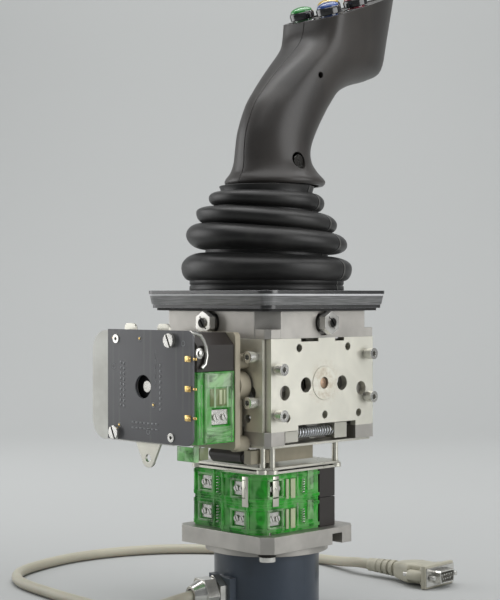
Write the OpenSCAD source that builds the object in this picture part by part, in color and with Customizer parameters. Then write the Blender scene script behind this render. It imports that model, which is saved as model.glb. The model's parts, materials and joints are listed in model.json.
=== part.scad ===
// Two-axis industrial joystick with a twist grip, switch units and a rotary encoder.
// Millimetres, +Z up, origin at the centre of the encoder's base. The grip faces +Y.

/* [Stack] */
// Height of the encoder body
encoder_h = 39.5; // [32:0.5:50]
// Height of the round spigot under the bottom flange
spigot_h = 4; // [2:0.5:8]
// Thickness of the bottom flange
flange_t = 10; // [8:0.5:14]
// Height of one level of the lower switch block
level_h = 18; // [15:0.5:22]
// Thickness of the thin steel plates
plate_t = 1.4; // [1:0.1:2]
// Set-back of a side plate's edge from the face of its neighbour
plate_set = 2.6; // [0.3:0.1:4]
// Gap between the two thin plates over the switch block
plate_gap = 1; // [0.6:0.1:2]
// Length of the posts between the thin plates and the carrier plate
post_h = 13.4; // [12:0.2:18]
// Thickness of the cast floor of the lower frame
floor_t = 8; // [7:0.5:12]
// Height of the side plates
side_h = 54; // [50:0.5:64]
// Height of the upper housing
housing_h = 16; // [14:0.5:20]
// Thickness of the gasket under the top plate
gasket_t = 1.5; // [1:0.1:3]
// Thickness of the top plate
top_t = 10.7; // [8:0.1:14]

/* [Body] */
// Width across the outer faces of the side plates
frame_w = 96; // [94:0.5:104]
// Thickness of the side plates
side_t = 4; // [3:0.5:5]
// Width of the corner pillars
pillar_w = 12; // [10:0.5:13]
// Width of the top plate
top_w = 108; // [104:1:120]
// Corner radius of the top plate
top_r = 8; // [4:0.5:12]
// Corner cut of the upper housing
housing_cut = 11; // [6:0.5:14]
// Radius of the stick opening in the upper housing
housing_open_r = 33; // [31:0.5:36]
// Radius of the stick opening in the top plate
top_open_r = 37; // [34:0.5:40]
// Width of the bottom flange
flange_w = 80; // [76:1:90]
// Corner cut of the bottom flange
flange_cut = 6; // [3:0.5:9]
// Diameter of the round spigot under the bottom flange
spigot_d = 76; // [70:1:78]
// Distance of the panel bolts from the edges of the top plate
panel_bolt_inset = 9; // [8:0.25:9.5]
// Diameter of the panel bolt holes
panel_bolt_d = 4.3; // [3.2:0.1:5.4]

/* [Pivot and sticks] */
// Height of the tilt axes over the bottom of the side plates
pivot_rise = 27; // [26:0.5:30]
// Outer radius of the gimbal ring
ring_r = 28; // [27:0.5:29]
// Radial width of the gimbal ring
ring_w = 6.5; // [5:0.5:7]
// Half height of the gimbal ring
ring_hh = 6; // [5:0.5:7]
// Radius of the tilt journals
journal_r = 3.5; // [3:0.25:4]
// Radius of the tilt bushes
bush_r = 10; // [8:0.5:12]
// Radius of the trunnion pins
trunnion_r = 2.5; // [2:0.25:3]
// Thickness of the fork arms
fork_t = 4; // [3:0.5:4.5]
// Outer radius of the stick tube
tube_r = 6; // [5:0.25:6.5]
// Radius of the twist rod inside the stick tube
rod_r = 3; // [2.5:0.25:3.5]
// Radius of the ball at the foot of the twist rod
ball_r = 6; // [5:0.25:6.5]
// Radius of the cross pin in the ball
cross_pin_r = 1.5; // [1:0.1:2]
// Outer radius of the slotted drive cup
cup_r = 11; // [10:0.25:12]
// Radius of the lower twist shaft
shaft_r = 4; // [3:0.25:5]
// Radial thickness of the slotted bail
bail_t = 4.5; // [4:0.25:5]
// Half width of the slotted bail
bail_hw = 10; // [9:0.5:12]
// Running clearance of shafts in their bores
run_gap = 0.08; // [0.03:0.01:0.1]
// Clearance of seated pieces
fit_gap = 0.05; // [0.02:0.01:0.1]

/* [Springs] */
// Outer diameter of the centring springs
spring_d = 7; // [6:0.25:8]
// Wire diameter of the centring springs
wire_d = 1; // [0.7:0.1:1.2]
// Number of turns of a centring spring
spring_turns = 15; // [8:1:18]
// Length of a centring spring
spring_len = 32; // [28:0.5:34]
// Length of a spring seat
seat_len = 11; // [8:0.5:13]
// Depth of the spring axis under the tilt axes
spring_drop = 29; // [28:0.5:30]

/* [Lower switch block] */
// Half width of the switch block
block_hw = 32; // [30:0.5:34]
// How far the front contact modules stand proud
module_step = 7; // [0:0.5:9]
// Depth of the dark end blocks
end_block_w = 14; // [8:0.5:18]
// Radius of the cam chamber
chamber_r = 14; // [13:0.5:18]
// Radius of the cams
cam_r = 11; // [9:0.5:12]
// Diameter of the spacer posts
post_d = 3.6; // [3:0.1:5]

/* [Encoder and cord] */
// Diameter of the encoder body
encoder_d = 65; // [58:0.5:68]
// Turn of the cable gland about the encoder
gland_yaw = 258; // [250:1:266]
// Height of the gland's axis
gland_z = 15; // [12:0.5:20]
// Width across flats of the gland
gland_af = 19; // [16:0.5:22]
// Diameter of the cable
cable_d = 7; // [5:0.25:7.5]
// Turn of the plug on the floor
plug_yaw = 3; // [-10:1:12]
// Width of the plug hood
hood_w = 33; // [31:0.5:36]
// Height of the plug hood
hood_h = 16; // [14:0.5:18]
// Length of the plug hood
hood_len = 34; // [28:0.5:44]

/* [Front switch unit] */
// Distance of the circuit board's face from the stick axis
board_y = 101; // [98:0.5:106]
// Width of the circuit board
board_w = 73; // [70:0.5:80]
// Height of the circuit board
board_h = 64; // [60:0.5:70]
// Thickness of the circuit board
board_t = 1.6; // [1:0.1:2.4]
// Depth of the contact block from front to back
contact_depth = 29; // [26:0.5:31]
// Distance of the unit's mounting plate from the stick axis
mount_y = 61; // [58:0.5:62]

/* [Grip] */
// Height of the grip's base over the tilt axes
grip_rise = 120.4; // [112:0.4:130]
// Wall of the grip shells
shell_t = 2.8; // [2:0.1:3.4]
// Slope of the head panel
panel_tilt = 19; // [12:0.5:22]
// Thickness of the head panel
panel_t = 2.4; // [2:0.1:3]
// Diameter of the push buttons
button_d = 16; // [12:0.1:16.4]
// Travel of the push buttons
button_travel = 1.5; // [1:0.1:2]
// Distance of the rear button row from the rear edge of the head
button_row = 12; // [12:0.5:16]
// Distance between the two button rows
row_pitch = 27.5; // [18:0.5:28]
// Distance of the buttons from the middle plane
button_side = 11.5; // [9.5:0.5:12]

/* [Bellows] */
// Wall of the bellows
bellows_t = 2; // [1.5:0.1:2.5]
// Radius of the bellows' foot
foot_r = 47.8; // [46:0.2:50]
// Height of the bellows' foot
foot_h = 6; // [4:0.5:8]

/* [Hidden] */

$fn = 48;
skin = 0.01;
hex = 6;

// Levels of the stack, from the encoder's base upwards
z_spigot = encoder_h;
z_flange = z_spigot + spigot_h;
z_block = z_flange + flange_t;
levels = 2;
z_plates = z_block + levels * level_h;
z_posts = z_plates + 2 * plate_t + plate_gap;
z_carrier = z_posts + post_h;
z_floor = z_carrier + plate_t;
z_side = z_floor + floor_t;
z_housing = z_side + side_h;
z_gasket = z_housing + housing_h;
z_top = z_gasket + gasket_t;
z_bellows = z_top + top_t;
z_pivot = z_side + pivot_rise;
z_grip = z_pivot + grip_rise;

// Plan sizes of the middle body
out_x = frame_w / 2;
in_x = out_x - side_t;
pillar_x = in_x - pillar_w;
notch_x = pillar_x - 0.5;
spring_x = out_x - 4.7;
arm_t = 3.5;
bail_in = ring_r + 2.5;
bail_out = bail_in + bail_t;
arm_in = bail_out;
arm_out = arm_in + arm_t;

// The notch in the frame and the window in the plate for a centring spring, along the face
notch_lo = -pillar_x - 2;
window_lo = notch_lo + 11.6;
window_hi = pillar_x - 3.3;
window_top = z_side + 3;
seat_lo = notch_lo + 2;
spring_lo = seat_lo + seat_len - 0.5;
spring_hi = spring_lo + spring_len;
z_spring = z_pivot - spring_drop;
seat_h = 9.4;

// ---------------------------------------------------------------- helpers

// Puts a child of the +X face on face k: 0 is +X, 1 is -Y, 2 is -X, 3 is +Y.
module on_face(k) rotate([0, 0, -90 * k]) children();

// A cylinder along +X from x = a to x = b.
module x_bar(r, a, b, f = 48) translate([a, 0, 0]) rotate([0, 90, 0]) cylinder(r = r, h = b - a, $fn = f);

// A cylinder along +Y from y = a to y = b.
module y_bar(r, a, b, f = 48) translate([0, a, 0]) rotate([-90, 0, 0]) cylinder(r = r, h = b - a, $fn = f);

module block(lo, hi) translate(lo) cube(hi - lo);

module round_square(w, d, r) {
    square([w - 2 * r, d], center = true);
    square([w, d - 2 * r], center = true);
    for (x = [-1, 1], y = [-1, 1]) translate([x * (w / 2 - r), y * (d / 2 - r)]) circle(r);
}

module cut_square(w, c) {
    h = w / 2;
    polygon([[h, c - h], [h, h - c], [h - c, h], [c - h, h], [-h, h - c], [-h, c - h], [c - h, -h],
        [h - c, -h]]);
}

module corners(d) for (x = [-1, 1], y = [-1, 1]) translate([x * d, y * d, 0]) children();

function unit(v) = v / norm(v);
function at(list, i) = list[max(0, min(len(list) - 1, i))];
function blend4(a, b, c, d, t) = 0.5 * (2 * b + (c - a) * t + (2 * a - 5 * b + 4 * c - d) * t * t
    + (3 * b - a - 3 * c + d) * t * t * t);
function smooth(list, steps) = [for (i = [0:len(list) - 2], k = [0:steps - 1])
    blend4(at(list, i - 1), list[i], list[i + 1], at(list, i + 2), k / steps), list[len(list) - 1]];

// A tube of radius r swept along a path of points that never runs straight up.
module sweep(path, r, sides) {
    n = len(path);
    up = [0, 0, 1];
    dirs = [for (i = [0:n - 1]) unit(at(path, i + 1) - at(path, i - 1))];
    rights = [for (t = dirs) unit(cross(t, up))];
    points = [for (i = [0:n - 1], j = [0:sides - 1])
        path[i] + r * (cos(360 * j / sides) * rights[i] + sin(360 * j / sides) * cross(rights[i], dirs[i]))];
    walls = [for (i = [0:n - 2], j = [0:sides - 1])
        let (a = i * sides + j, b = i * sides + (j + 1) % sides)
        each [[a, b, b + sides], [a, b + sides, a + sides]]];
    start = [for (j = [sides - 1:-1:0]) j];
    end = [for (j = [0:sides - 1]) (n - 1) * sides + j];
    polyhedron(points, concat(walls, [start, end]));
}

// A screw along +X with its seat at x = 0: a cap head on a collar, a socket and a shank.
module cap_screw(collar, shank, head_r = 3.5, head_h = 4, r = 2) {
    difference() {
        union() {
            x_bar(r + 0.8, 0, collar);
            x_bar(head_r, collar, collar + head_h);
            x_bar(r, -shank, skin);
        }
        x_bar(0.5 * head_r, collar + head_h - 2, collar + head_h + skin, hex);
    }
}

// A slotted cheese head along +X with its seat at x = 0.
module slot_screw(head_r, head_h, shank, r) {
    slot_w = 0.28 * head_r;
    difference() {
        union() {
            x_bar(head_r, 0, head_h);
            x_bar(r, -shank, skin);
        }
        translate([head_h, 0, 0]) rotate([25, 0, 0]) cube([head_h, slot_w, 3 * head_r], center = true);
    }
}

// ---------------------------------------------------------------- encoder, gland and cord

gland_seat = encoder_d / 2 + 2;
gland_w = 24;
hex_len = 6;
gland_len = 20.5;
nut_len = gland_len - hex_len;
shaft_foot = z_flange - 12;

module encoder_body() color("#33435a") {
    difference() {
        union() {
            translate([0, 0, 1]) cylinder(d = encoder_d, h = encoder_h - 1, $fn = 96);
            cylinder(d1 = encoder_d - 2, d2 = encoder_d, h = 1 + skin, $fn = 96);
            rotate([0, 0, gland_yaw]) block([0, -gland_w / 2, 3], [gland_seat, gland_w / 2, gland_z + 10]);
        }
        translate([0, 0, shaft_foot - 1]) cylinder(r = shaft_r + run_gap, h = encoder_h);
        rotate([0, 0, gland_yaw]) translate([0, 0, gland_z]) x_bar(6, gland_seat - 10, gland_seat + 1);
    }
}

module cable_gland() color("#b9b5aa") rotate([0, 0, gland_yaw]) translate([gland_seat, 0, gland_z])
    difference() {
        across = gland_af / cos(30) / 2;
        union() {
            x_bar(6 - fit_gap, -8, skin);
            x_bar(across, 0, hex_len - 1, hex);
            x_bar(0.44 * gland_af, 0, hex_len + 1);
            rotate([30, 0, 0]) x_bar(across, hex_len, hex_len + 0.55 * nut_len, hex);
            translate([hex_len + 0.55 * nut_len - skin, 0, 0]) rotate([0, 90, 0])
                cylinder(r1 = 0.47 * gland_af, r2 = 0.3 * gland_af, h = 0.45 * nut_len);
        }
        x_bar(cable_d / 2 + 0.5, -9, gland_len + 1);
    }

floor_z = cable_d / 2 + 0.1;
gland_exit = gland_seat + gland_len - 3;
gland_dir = [cos(gland_yaw), sin(gland_yaw), 0];
plug_at = [-26, 130, hood_h / 2];
plug_dir = [cos(plug_yaw), sin(plug_yaw), 0];
relief_len = 24;
cord_gap = 0.25;
route = [gland_dir * gland_exit + [0, 0, gland_z], gland_dir * (gland_exit + 10) + [0, 0, gland_z - 1.5],
    [-26, -74, 8], [-48, -80, floor_z], [-80, -78, floor_z], [-125, -74, floor_z], [-166, -66, floor_z],
    [-192, -48, floor_z], [-206, -18, floor_z], [-212, 18, floor_z], [-206, 56, floor_z],
    [-188, 90, floor_z], [-158, 116, floor_z], [-120, 132, floor_z], [-84, 138, floor_z],
    [-56, 134, floor_z + 2], plug_at - 12 * plug_dir, plug_at - cord_gap * plug_dir];

module cable() color("#b5b3a0") sweep(smooth(route, 3), cable_d / 2, 8);

module at_plug() translate(plug_at) rotate([0, 0, plug_yaw]) children();

relief_ribs = 5;
relief_r = 5.5;

module strain_relief() color("#aaa896") at_plug() difference() {
    pitch = relief_len / relief_ribs;
    union() {
        for (i = [0:relief_ribs - 1])
            x_bar(relief_r - 0.25 * (relief_ribs - 1 - i), i * pitch, i * pitch + 0.55 * pitch);
        x_bar(cable_d / 2 + 0.9, 0, relief_len);
    }
    x_bar(cable_d / 2 + fit_gap, relief_len - 4, relief_len + 1);
}

shell_x = relief_len + hood_len;
screw_side = 12.5;

module plug_hood() color("#b5b3a0") at_plug() difference() {
    neck = 0.35 * hood_len;
    union() {
        translate([relief_len, 0, 0]) linear_extrude(hood_h - 0.4, center = true)
            polygon([[0, -8], [neck, -hood_w / 2], [hood_len, -hood_w / 2], [hood_len, hood_w / 2],
                [neck, hood_w / 2], [0, 8]]);
    }
    for (y = [-1, 1]) translate([0, y * screw_side, 0]) {
        x_bar(1.8, relief_len + neck - 1, shell_x + 1);
        block([relief_len + neck + 5, -3.6, -4], [relief_len + neck + 16, 5, 4]);
    }
}

// The size 1 D-shell: its flange, hollow nose and nine pins, with two thumb screws
module plug_shell() color("#b9b5aa") at_plug() translate([shell_x, 0, 0]) {
    nose_h = 8.4;
    nose_w = 17;
    pin_pitch = 2.77;
    difference() {
        union() {
            block([0, -hood_w / 2 + 1, -6.2], [1, hood_w / 2 - 1, 6.2]);
            rotate([90, 0, 90]) linear_extrude(6.5) d_outline(nose_w, nose_h);
        }
        rotate([90, 0, 90]) translate([0, 0, 2]) linear_extrude(6) d_outline(nose_w - 1.6, nose_h - 1.6);
        for (y = [-1, 1]) translate([0, y * screw_side, 0]) x_bar(1.8, -1, 2);
    }
    for (row = [0, 1], i = [0:4 - row])
        translate([0, (i - 2 + row / 2) * pin_pitch, (0.5 - row) * 2.84]) x_bar(0.5, 2 - skin, 6, 16);
    for (y = [-1, 1]) translate([0, y * screw_side, 0]) {
        x_bar(1.5, -hood_len * 0.65 + 2, 5, 24);
        x_bar(3, -hood_len * 0.65 + 6, -hood_len * 0.65 + 14, 24);
    }
}

module d_outline(w, h) polygon([[-w / 2 + 1, -h / 2], [w / 2 - 1, -h / 2], [w / 2, h / 2 - 1],
    [w / 2 - 1, h / 2], [-w / 2 + 1, h / 2], [-w / 2, h / 2 - 1]]);

// ---------------------------------------------------------------- bottom flange and switch block

flange_screw_at = flange_w / 2 - 11;
flange_screw_r = 2.2;
flange_bite = 3;

module flange_screw_places() for (s = [-1, 1]) translate([s * flange_screw_at, -s * flange_screw_at, 0]) children();

module bottom_flange() color("#b3afa9") difference() {
    union() {
        translate([0, 0, z_flange]) linear_extrude(flange_t) cut_square(flange_w, flange_cut);
        translate([0, 0, z_spigot]) cylinder(d = spigot_d, h = spigot_h + skin, $fn = 96);
    }
    translate([0, 0, z_spigot - 1]) cylinder(r = shaft_r + run_gap, h = flange_t + spigot_h + 2);
    flange_screw_places() translate([0, 0, z_spigot - 1]) {
        cylinder(r = flange_screw_r + 0.2, h = flange_t + spigot_h + 2);
        cylinder(r = 6, h = spigot_h + 1 + skin);
    }
    block([flange_w / 2 - 12, 16.5, z_flange - 1], [flange_w / 2 + 1, 25.5, z_flange + 0.65 * flange_t]);
}

module flange_screws() color("#a5a19a") flange_screw_places() translate([0, 0, z_flange])
    rotate([0, 90, 0]) cap_screw(0.8, flange_t + flange_bite, 5, 5, flange_screw_r);

// One level of the switch block: stepped contact modules round a cam chamber
module switch_outline() {
    s = block_hw;
    e = block_hw - 4.5 - end_block_w;
    polygon([[-s, -s], [-3, -s], [-1, -s - module_step], [s - 8, -s - module_step], [s, -s], [s, e], [-s, e]]);
}

pocket_w = 11;
pocket_h = 9;
pocket_d = 5;
front_pockets = [-21, 14.5];
side_pockets = [-25];

module pockets() {
    for (x = front_pockets) translate([x, x < 0 ? -block_hw : -block_hw - module_step, level_h / 2])
        translate([-pocket_w / 2, -skin, -pocket_h / 2]) cube([pocket_w, pocket_d, pocket_h]);
    for (y = side_pockets) translate([block_hw - pocket_d, y - pocket_w / 2, (level_h - pocket_h) / 2])
        cube([pocket_d + skin, pocket_w, pocket_h]);
}

module switch_level(i) translate([0, 0, z_block + i * level_h]) difference() {
    rib_gap = 0.6;
    union() {
        linear_extrude(level_h) offset(delta = -rib_gap) switch_outline();
        for (z = [1.5, level_h - 3.5]) translate([0, 0, z]) linear_extrude(2) switch_outline();
    }
    translate([0, 0, -1]) cylinder(r = chamber_r, h = level_h + 2);
    pockets();
    corners(flange_screw_at - 4) translate([0, 0, -1]) cylinder(r = 1.7, h = level_h + 2, $fn = 24);
    if (i == 0) flange_screw_places() translate([0, 0, -1]) cylinder(r = flange_screw_r + 0.3, h = flange_bite + 1.5);
}

module switch_level_lower() color("#3aa655") switch_level(0);
module switch_level_upper() color("#3aa655") switch_level(1);

module block_ends() color("#3a3431") for (i = [0:levels - 1]) translate([0, 0, z_block + i * level_h + 0.2]) {
    e = block_hw - 4.5 - end_block_w + 0.2;
    difference() {
        block([-block_hw, e, 0], [block_hw, block_hw - 4.5, level_h - 0.4]);
        translate([0, 0, -1]) cylinder(r = chamber_r + 1, h = level_h + 2);
        if (i == 0) flange_screw_places() translate([0, 0, -1]) cylinder(r = flange_screw_r + 0.3, h = flange_bite + 1.5);
    }
}

// A clamp terminal in a pocket that opens towards +X: a nickel body with two screws
module terminal() {
    w = pocket_w - 1;
    h = pocket_h - 1;
    block([-pocket_d + 0.3, -w / 2, -h / 2], [-1.4, w / 2, h / 2]);
    for (y = [-1, 1]) translate([-1.4, y * w / 4, 0]) slot_screw(1.9, 1, 0, 1.9);
}

module block_terminals() color("#c9c5b2") for (i = [0:levels - 1])
    translate([0, 0, z_block + (i + 0.5) * level_h]) {
        for (x = front_pockets) translate([x, x < 0 ? -block_hw : -block_hw - module_step, 0])
            rotate([0, 0, -90]) terminal();
        for (y = side_pockets) translate([block_hw, y, 0]) terminal();
    }

plate_hw = block_hw + 2;
plate_bore_r = 12;

module switch_plates() color("#c4c0b4") for (z = [z_plates, z_plates + plate_t + plate_gap])
    translate([0, 0, z]) difference() {
        union() {
            linear_extrude(plate_t) cut_square(2 * plate_hw, 5);
            if (z == z_plates) post_ring() cylinder(d = 2 * post_d, h = plate_t + plate_gap, $fn = 24);
        }
        translate([0, 0, -1]) cylinder(r = plate_bore_r, h = 4 + plate_t);
    }

// The eight places of the spacer posts, two at each corner
post_far = plate_hw - 2;
post_near = plate_hw - 6;

module post_ring() for (k = [0:3]) on_face(k) {
    translate([post_far, -post_near, 0]) children();
    translate([post_near, -post_far, 0]) children();
}

module spacer_posts() color("#c4c0b4") translate([0, 0, z_posts]) post_ring() cylinder(d = post_d, h = post_h);

// The stop bar hangs on its screw under the carrier plate
bar_h = 8;
bar_w = 5.5;
bar_x = 20.5;
bar_mid = z_posts + 0.47 * post_h;

module stop_bar() color("#b7ae93") {
    difference() {
        block([bar_x, -40, bar_mid - bar_h / 2], [bar_x + bar_w, 14, bar_mid + bar_h / 2]);
        translate([bar_x + bar_w / 2, 9, bar_mid - bar_h]) cylinder(r = 1, h = 2 * bar_h, $fn = 24);
    }
    translate([bar_x + bar_w / 2, -2.5, 0]) {
        translate([0, 0, bar_mid]) cylinder(r = 1.5, h = z_carrier - bar_mid);
        translate([0, 0, z_carrier - 2.4]) cylinder(r = 3.4, h = 2.4, $fn = hex);
    }
}

barrel_r = 5;

module spring_barrel() color("#39332e") translate([0, -36, bar_mid]) {
    x_bar(barrel_r, -8, bar_x - 2.4);
    x_bar(barrel_r - 0.8, bar_x - 2.4 - skin, bar_x - 0.2);
    x_bar(barrel_r - 2, -11, -8 + skin);
    block([2, -3, 0], [8, 3, z_carrier - bar_mid]);
}

carrier_w = frame_w - 2;
hub_bore_r = 16;

module carrier_plate() color("#d6d2c4") translate([0, 0, z_carrier]) difference() {
    linear_extrude(plate_t) cut_square(carrier_w, 4);
    translate([0, 0, -1]) cylinder(r = hub_bore_r, h = plate_t + 2);
}

// ---------------------------------------------------------------- middle body

// Heights of the side screws over the tilt axes: the low pair and the high pair
low_pair = [9.5, -17.2];
high_pair = [side_h - pivot_rise - 10.4, -9.8];
low_y = 2.5 - in_x;
high_y = pillar_x + pillar_w / 2;
eye_y = high_y - 4.2;
end_y = high_y - 6.4;
eye_top = side_h - pivot_rise - 5.7;
screw_r = 2;
screw_bite = 9;

// On the rear plate the low pair sits further in, on shorter collars.
module side_screw_places(k) {
    for (z = low_pair) translate([0, k == 3 ? -high_y : low_y, z_pivot + z]) children();
    for (z = high_pair) translate([0, high_y, z_pivot + z]) children();
}

module lower_frame() color("#a9a59d") difference() {
    union() {
        translate([0, 0, z_floor]) linear_extrude(floor_t) cut_square(frame_w, 3);
        corners(pillar_x + pillar_w / 2) translate([-pillar_w / 2, -pillar_w / 2, z_side - skin])
            cube([pillar_w, pillar_w, side_h + skin]);
    }
    translate([0, 0, z_floor - 1]) cylinder(r = hub_bore_r, h = floor_t + 2);
    for (k = [0:3]) on_face(k) {
        block([notch_x, notch_lo, z_floor - 1], [out_x + 1, window_hi, window_top]);
        side_screw_places(k) x_bar(screw_r + fit_gap, in_x - screw_bite - 1, in_x + 1);
    }
}

// A side plate on the +X face, with its bush bore, holes, top slots and spring window
module side_plate(k) on_face(k) difference() {
    block([in_x, plate_set - out_x, z_side], [out_x, in_x - 0.3, z_housing]);
    translate([0, 0, z_pivot]) {
        x_bar(bush_r + fit_gap, in_x - 1, out_x + 1);
        for (y = [-15.8, 16.2]) translate([0, y, -0.6]) x_bar(4.5, in_x - 1, out_x + 1);
        for (y = [-eye_y, eye_y]) translate([0, y, -4.6]) x_bar(4.3, in_x - 1, out_x + 1);
        for (p = [[-21.6, eye_top], [21.6, eye_top], [-end_y, -19.4], [end_y, -19.4], [0.8, -19]])
            translate([0, p[0], p[1]]) x_bar(2.4, in_x - 1, out_x + 1);
    }
    side_screw_places(k) x_bar(screw_r + 0.15, in_x - 1, out_x + 1);
    block([in_x - 1, window_lo, z_side - 1], [out_x + 1, window_hi, window_top]);
    block([in_x - 1, -20, z_housing - 2], [out_x + 1, -5, z_housing + 1]);
    block([in_x - 1, 10, z_housing - 2], [out_x + 1, 18, z_housing + 1]);
}

module side_plate_right() color("#d8d5c8") side_plate(0);
module side_plate_front() color("#d8d5c8") side_plate(1);
module side_plate_left() color("#d8d5c8") side_plate(2);
module side_plate_rear() color("#d8d5c8") side_plate(3);

module side_plate_screws() color("#b4b1a8") for (k = [0:3]) on_face(k)
    side_screw_places(k) translate([out_x, 0, 0]) cap_screw(k == 3 ? 0.8 : 3, side_t + screw_bite);

// The upper housing, with cut corners over a square rim
rim_h = 5.5;
rim_cut = 3;
bolt_r = 3;
nut_af = 12;
nut_t = 4.5;
nut_r = nut_af / cos(30) / 2;
bolt_z = z_gasket - nut_r - 0.1;
pocket_ring_r = 7.6;
pocket_ring_d = 4;
nut_seat = 1.8;

module upper_housing() color("#a9a5a0") difference() {
    union() {
        translate([0, 0, z_housing]) linear_extrude(rim_h) cut_square(frame_w - 0.6, rim_cut);
        translate([0, 0, z_housing]) linear_extrude(housing_h) cut_square(frame_w, housing_cut);
    }
    for (k = [0:3]) on_face(k) translate([0, 0, bolt_z]) difference() {
        x_bar(pocket_ring_r, out_x - pocket_ring_d, out_x + 1);
        x_bar(nut_af / 2 - 0.6, out_x - pocket_ring_d - 1, out_x + 2);
    }
    translate([0, 0, z_housing - 1]) cylinder(r = housing_open_r, h = housing_h + 2, $fn = 96);
    for (k = [0:3]) on_face(k) translate([0, 0, bolt_z]) x_bar(bolt_r + fit_gap, housing_open_r - 2, out_x + 1);
}

// Slotted set screws, each with a washer and a lock nut
module clamp_bolts() color("#bdbab2") for (k = [0:3]) on_face(k) translate([out_x + 0.05, 0, bolt_z])
    difference() {
        union() {
            x_bar(nut_af / 2 - 0.8, 0, nut_seat + skin);
            translate([nut_seat, 0, 0]) x_bar(nut_r, 0, nut_t, hex);
            x_bar(bolt_r, -12, nut_seat + nut_t + 1);
        }
        translate([nut_seat + nut_t + 1, 0, 0]) rotate([35, 0, 0]) cube([3, 0.9, 3 * bolt_r], center = true);
    }

bush_in = arm_out + 0.6;

// A flanged bush in each side plate; its outer end is flush with the plate
module tilt_bushes() color("#cbc5b2") for (k = [0:3]) on_face(k) translate([0, 0, z_pivot]) difference() {
    union() {
        x_bar(bush_r, in_x, out_x + 0.3);
        x_bar(bush_r - 3, bush_in, in_x + skin);
    }
    x_bar(journal_r + run_gap, bush_in - 1, out_x + 2);
}

// ---------------------------------------------------------------- top plate and bellows

gasket_inset = 4.5;
gasket_w = top_w - 2 * gasket_inset;
gasket_r = 5;
bolt_at = top_w / 2 - panel_bolt_inset;

module plate_gasket() color("#17171a") translate([0, 0, z_gasket]) difference() {
    linear_extrude(gasket_t) round_square(gasket_w, gasket_w, gasket_r);
    translate([0, 0, -1]) cylinder(r = housing_open_r, h = gasket_t + 2, $fn = 96);
    corners(bolt_at) translate([0, 0, -1]) cylinder(d = panel_bolt_d + 1, h = gasket_t + 2);
}

taper = 1.8;
band_h = 2.2;
lip_h = 2;

module top_plate() color("#46464a") translate([0, 0, z_top]) difference() {
    union() {
        linear_extrude(band_h) round_square(top_w - 2 * taper - 1, top_w - 2 * taper - 1, top_r - taper);
        translate([0, 0, band_h]) hull() {
            linear_extrude(skin, $fn = 32) round_square(top_w - 2 * taper, top_w - 2 * taper, top_r - taper);
            translate([0, 0, top_t - band_h - lip_h - skin]) linear_extrude(skin, $fn = 32)
                round_square(top_w - 0.8, top_w - 0.8, top_r - 0.4);
        }
        translate([0, 0, top_t - lip_h]) linear_extrude(lip_h) round_square(top_w, top_w, top_r);
    }
    translate([0, 0, -1]) cylinder(r = top_open_r, h = top_t + 2, $fn = 96);
    corners(bolt_at) translate([0, 0, -1]) cylinder(d = panel_bolt_d, h = top_t + 2);
}

// The folds of the bellows: radius, height of the middle over the top plate, half height, and
// the radius of the valley below and above
folds = [[52.9, 14.1, 8.1, 47.3, 38], [50, 31.2, 7.4, 38, 36.5], [43.7, 44.4, 5.6, 36.5, 31],
    [35.9, 55.6, 4.9, 31, 28.5]];
fold_steps = 9;
top_fold_r = 28.5;
bellows_h = grip_rise + z_pivot - z_bellows - 0.6;
drawn_h = 64.6;
stretch = bellows_h / drawn_h;

function fold_points(f, shrink) = [for (i = [0:fold_steps])
    let (t = -90 + 180 * i / fold_steps,
        valley = t < 0 ? f[3] : f[4])
    [valley - shrink + (f[0] - valley) * cos(t), f[1] * stretch + (f[2] * stretch - shrink) * sin(t)]];

module bellows() color("#1c1b1a") translate([0, 0, z_bellows]) rotate_extrude($fn = 96) {
    outer = [for (f = folds) each fold_points(f, 0)];
    inner = [for (f = folds) each fold_points(f, bellows_t)];
    n = len(inner);
    polygon(concat([[foot_r, 0], [foot_r, foot_h]], outer,
        [[top_fold_r, bellows_h - 3], [top_fold_r + 1, bellows_h], [top_fold_r - 5, bellows_h],
            [top_fold_r - bellows_t, bellows_h - 4]],
        [for (i = [n - 1:-1:0]) inner[i]], [[foot_r - 4, foot_h - 1], [foot_r - 4, 0]]));
}

// ---------------------------------------------------------------- centring springs and seats

// Places a child made along +Y at the spring axis of the +X face
module at_spring(k) on_face(k) translate([spring_x, 0, z_spring]) children();

coil_steps = 10;

module centring_spring() {
    coil_r = (spring_d - wire_d) / 2;
    pitch = (spring_len - wire_d) / spring_turns;
    helix = [for (i = [0:spring_turns * coil_steps])
        let (a = 360 * i / coil_steps)
        [coil_r * cos(a), coil_r * sin(a), pitch * i / coil_steps]];
    translate([0, spring_lo + wire_d / 2, 0]) rotate([-90, 0, 0]) sweep(helix, wire_d / 2, 5);
}

module centring_spring_y() color("#9a9ea3") at_spring(0) centring_spring();
module centring_spring_x() color("#9a9ea3") at_spring(1) centring_spring();

nose_r = spring_d / 2 - wire_d - 0.35;
seat_top = min(seat_h / 2, window_top - z_spring - 0.4);
low_seat_top = z_side - z_spring - 0.3;
seat_w = 7.4;

// A spring seat with its nose inside the coil; dir is the way the nose points
module spring_seat(face_y, dir) {
    back = face_y - dir * seat_len;
    block([-seat_w / 2, min(face_y, back), -seat_h / 2],
        [seat_w / 2, max(face_y, back), dir > 0 ? low_seat_top : seat_top]);
    y_bar(nose_r, min(face_y - dir, face_y + 4 * dir), max(face_y - dir, face_y + 4 * dir), 24);
}

seat_slack = 0.05;

module seat_y_low() color("#cfd0d2") at_spring(0) spring_seat(spring_lo - seat_slack, 1);
module seat_y_high() color("#cfd0d2") at_spring(0) spring_seat(spring_hi + seat_slack, -1);
module seat_x_low() color("#cfd0d2") at_spring(1) spring_seat(spring_lo - seat_slack, 1);
module seat_x_high() color("#cfd0d2") at_spring(1) spring_seat(spring_hi + seat_slack, -1);

// ---------------------------------------------------------------- gimbal, bail and stick

arm_hw = 5;

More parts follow.
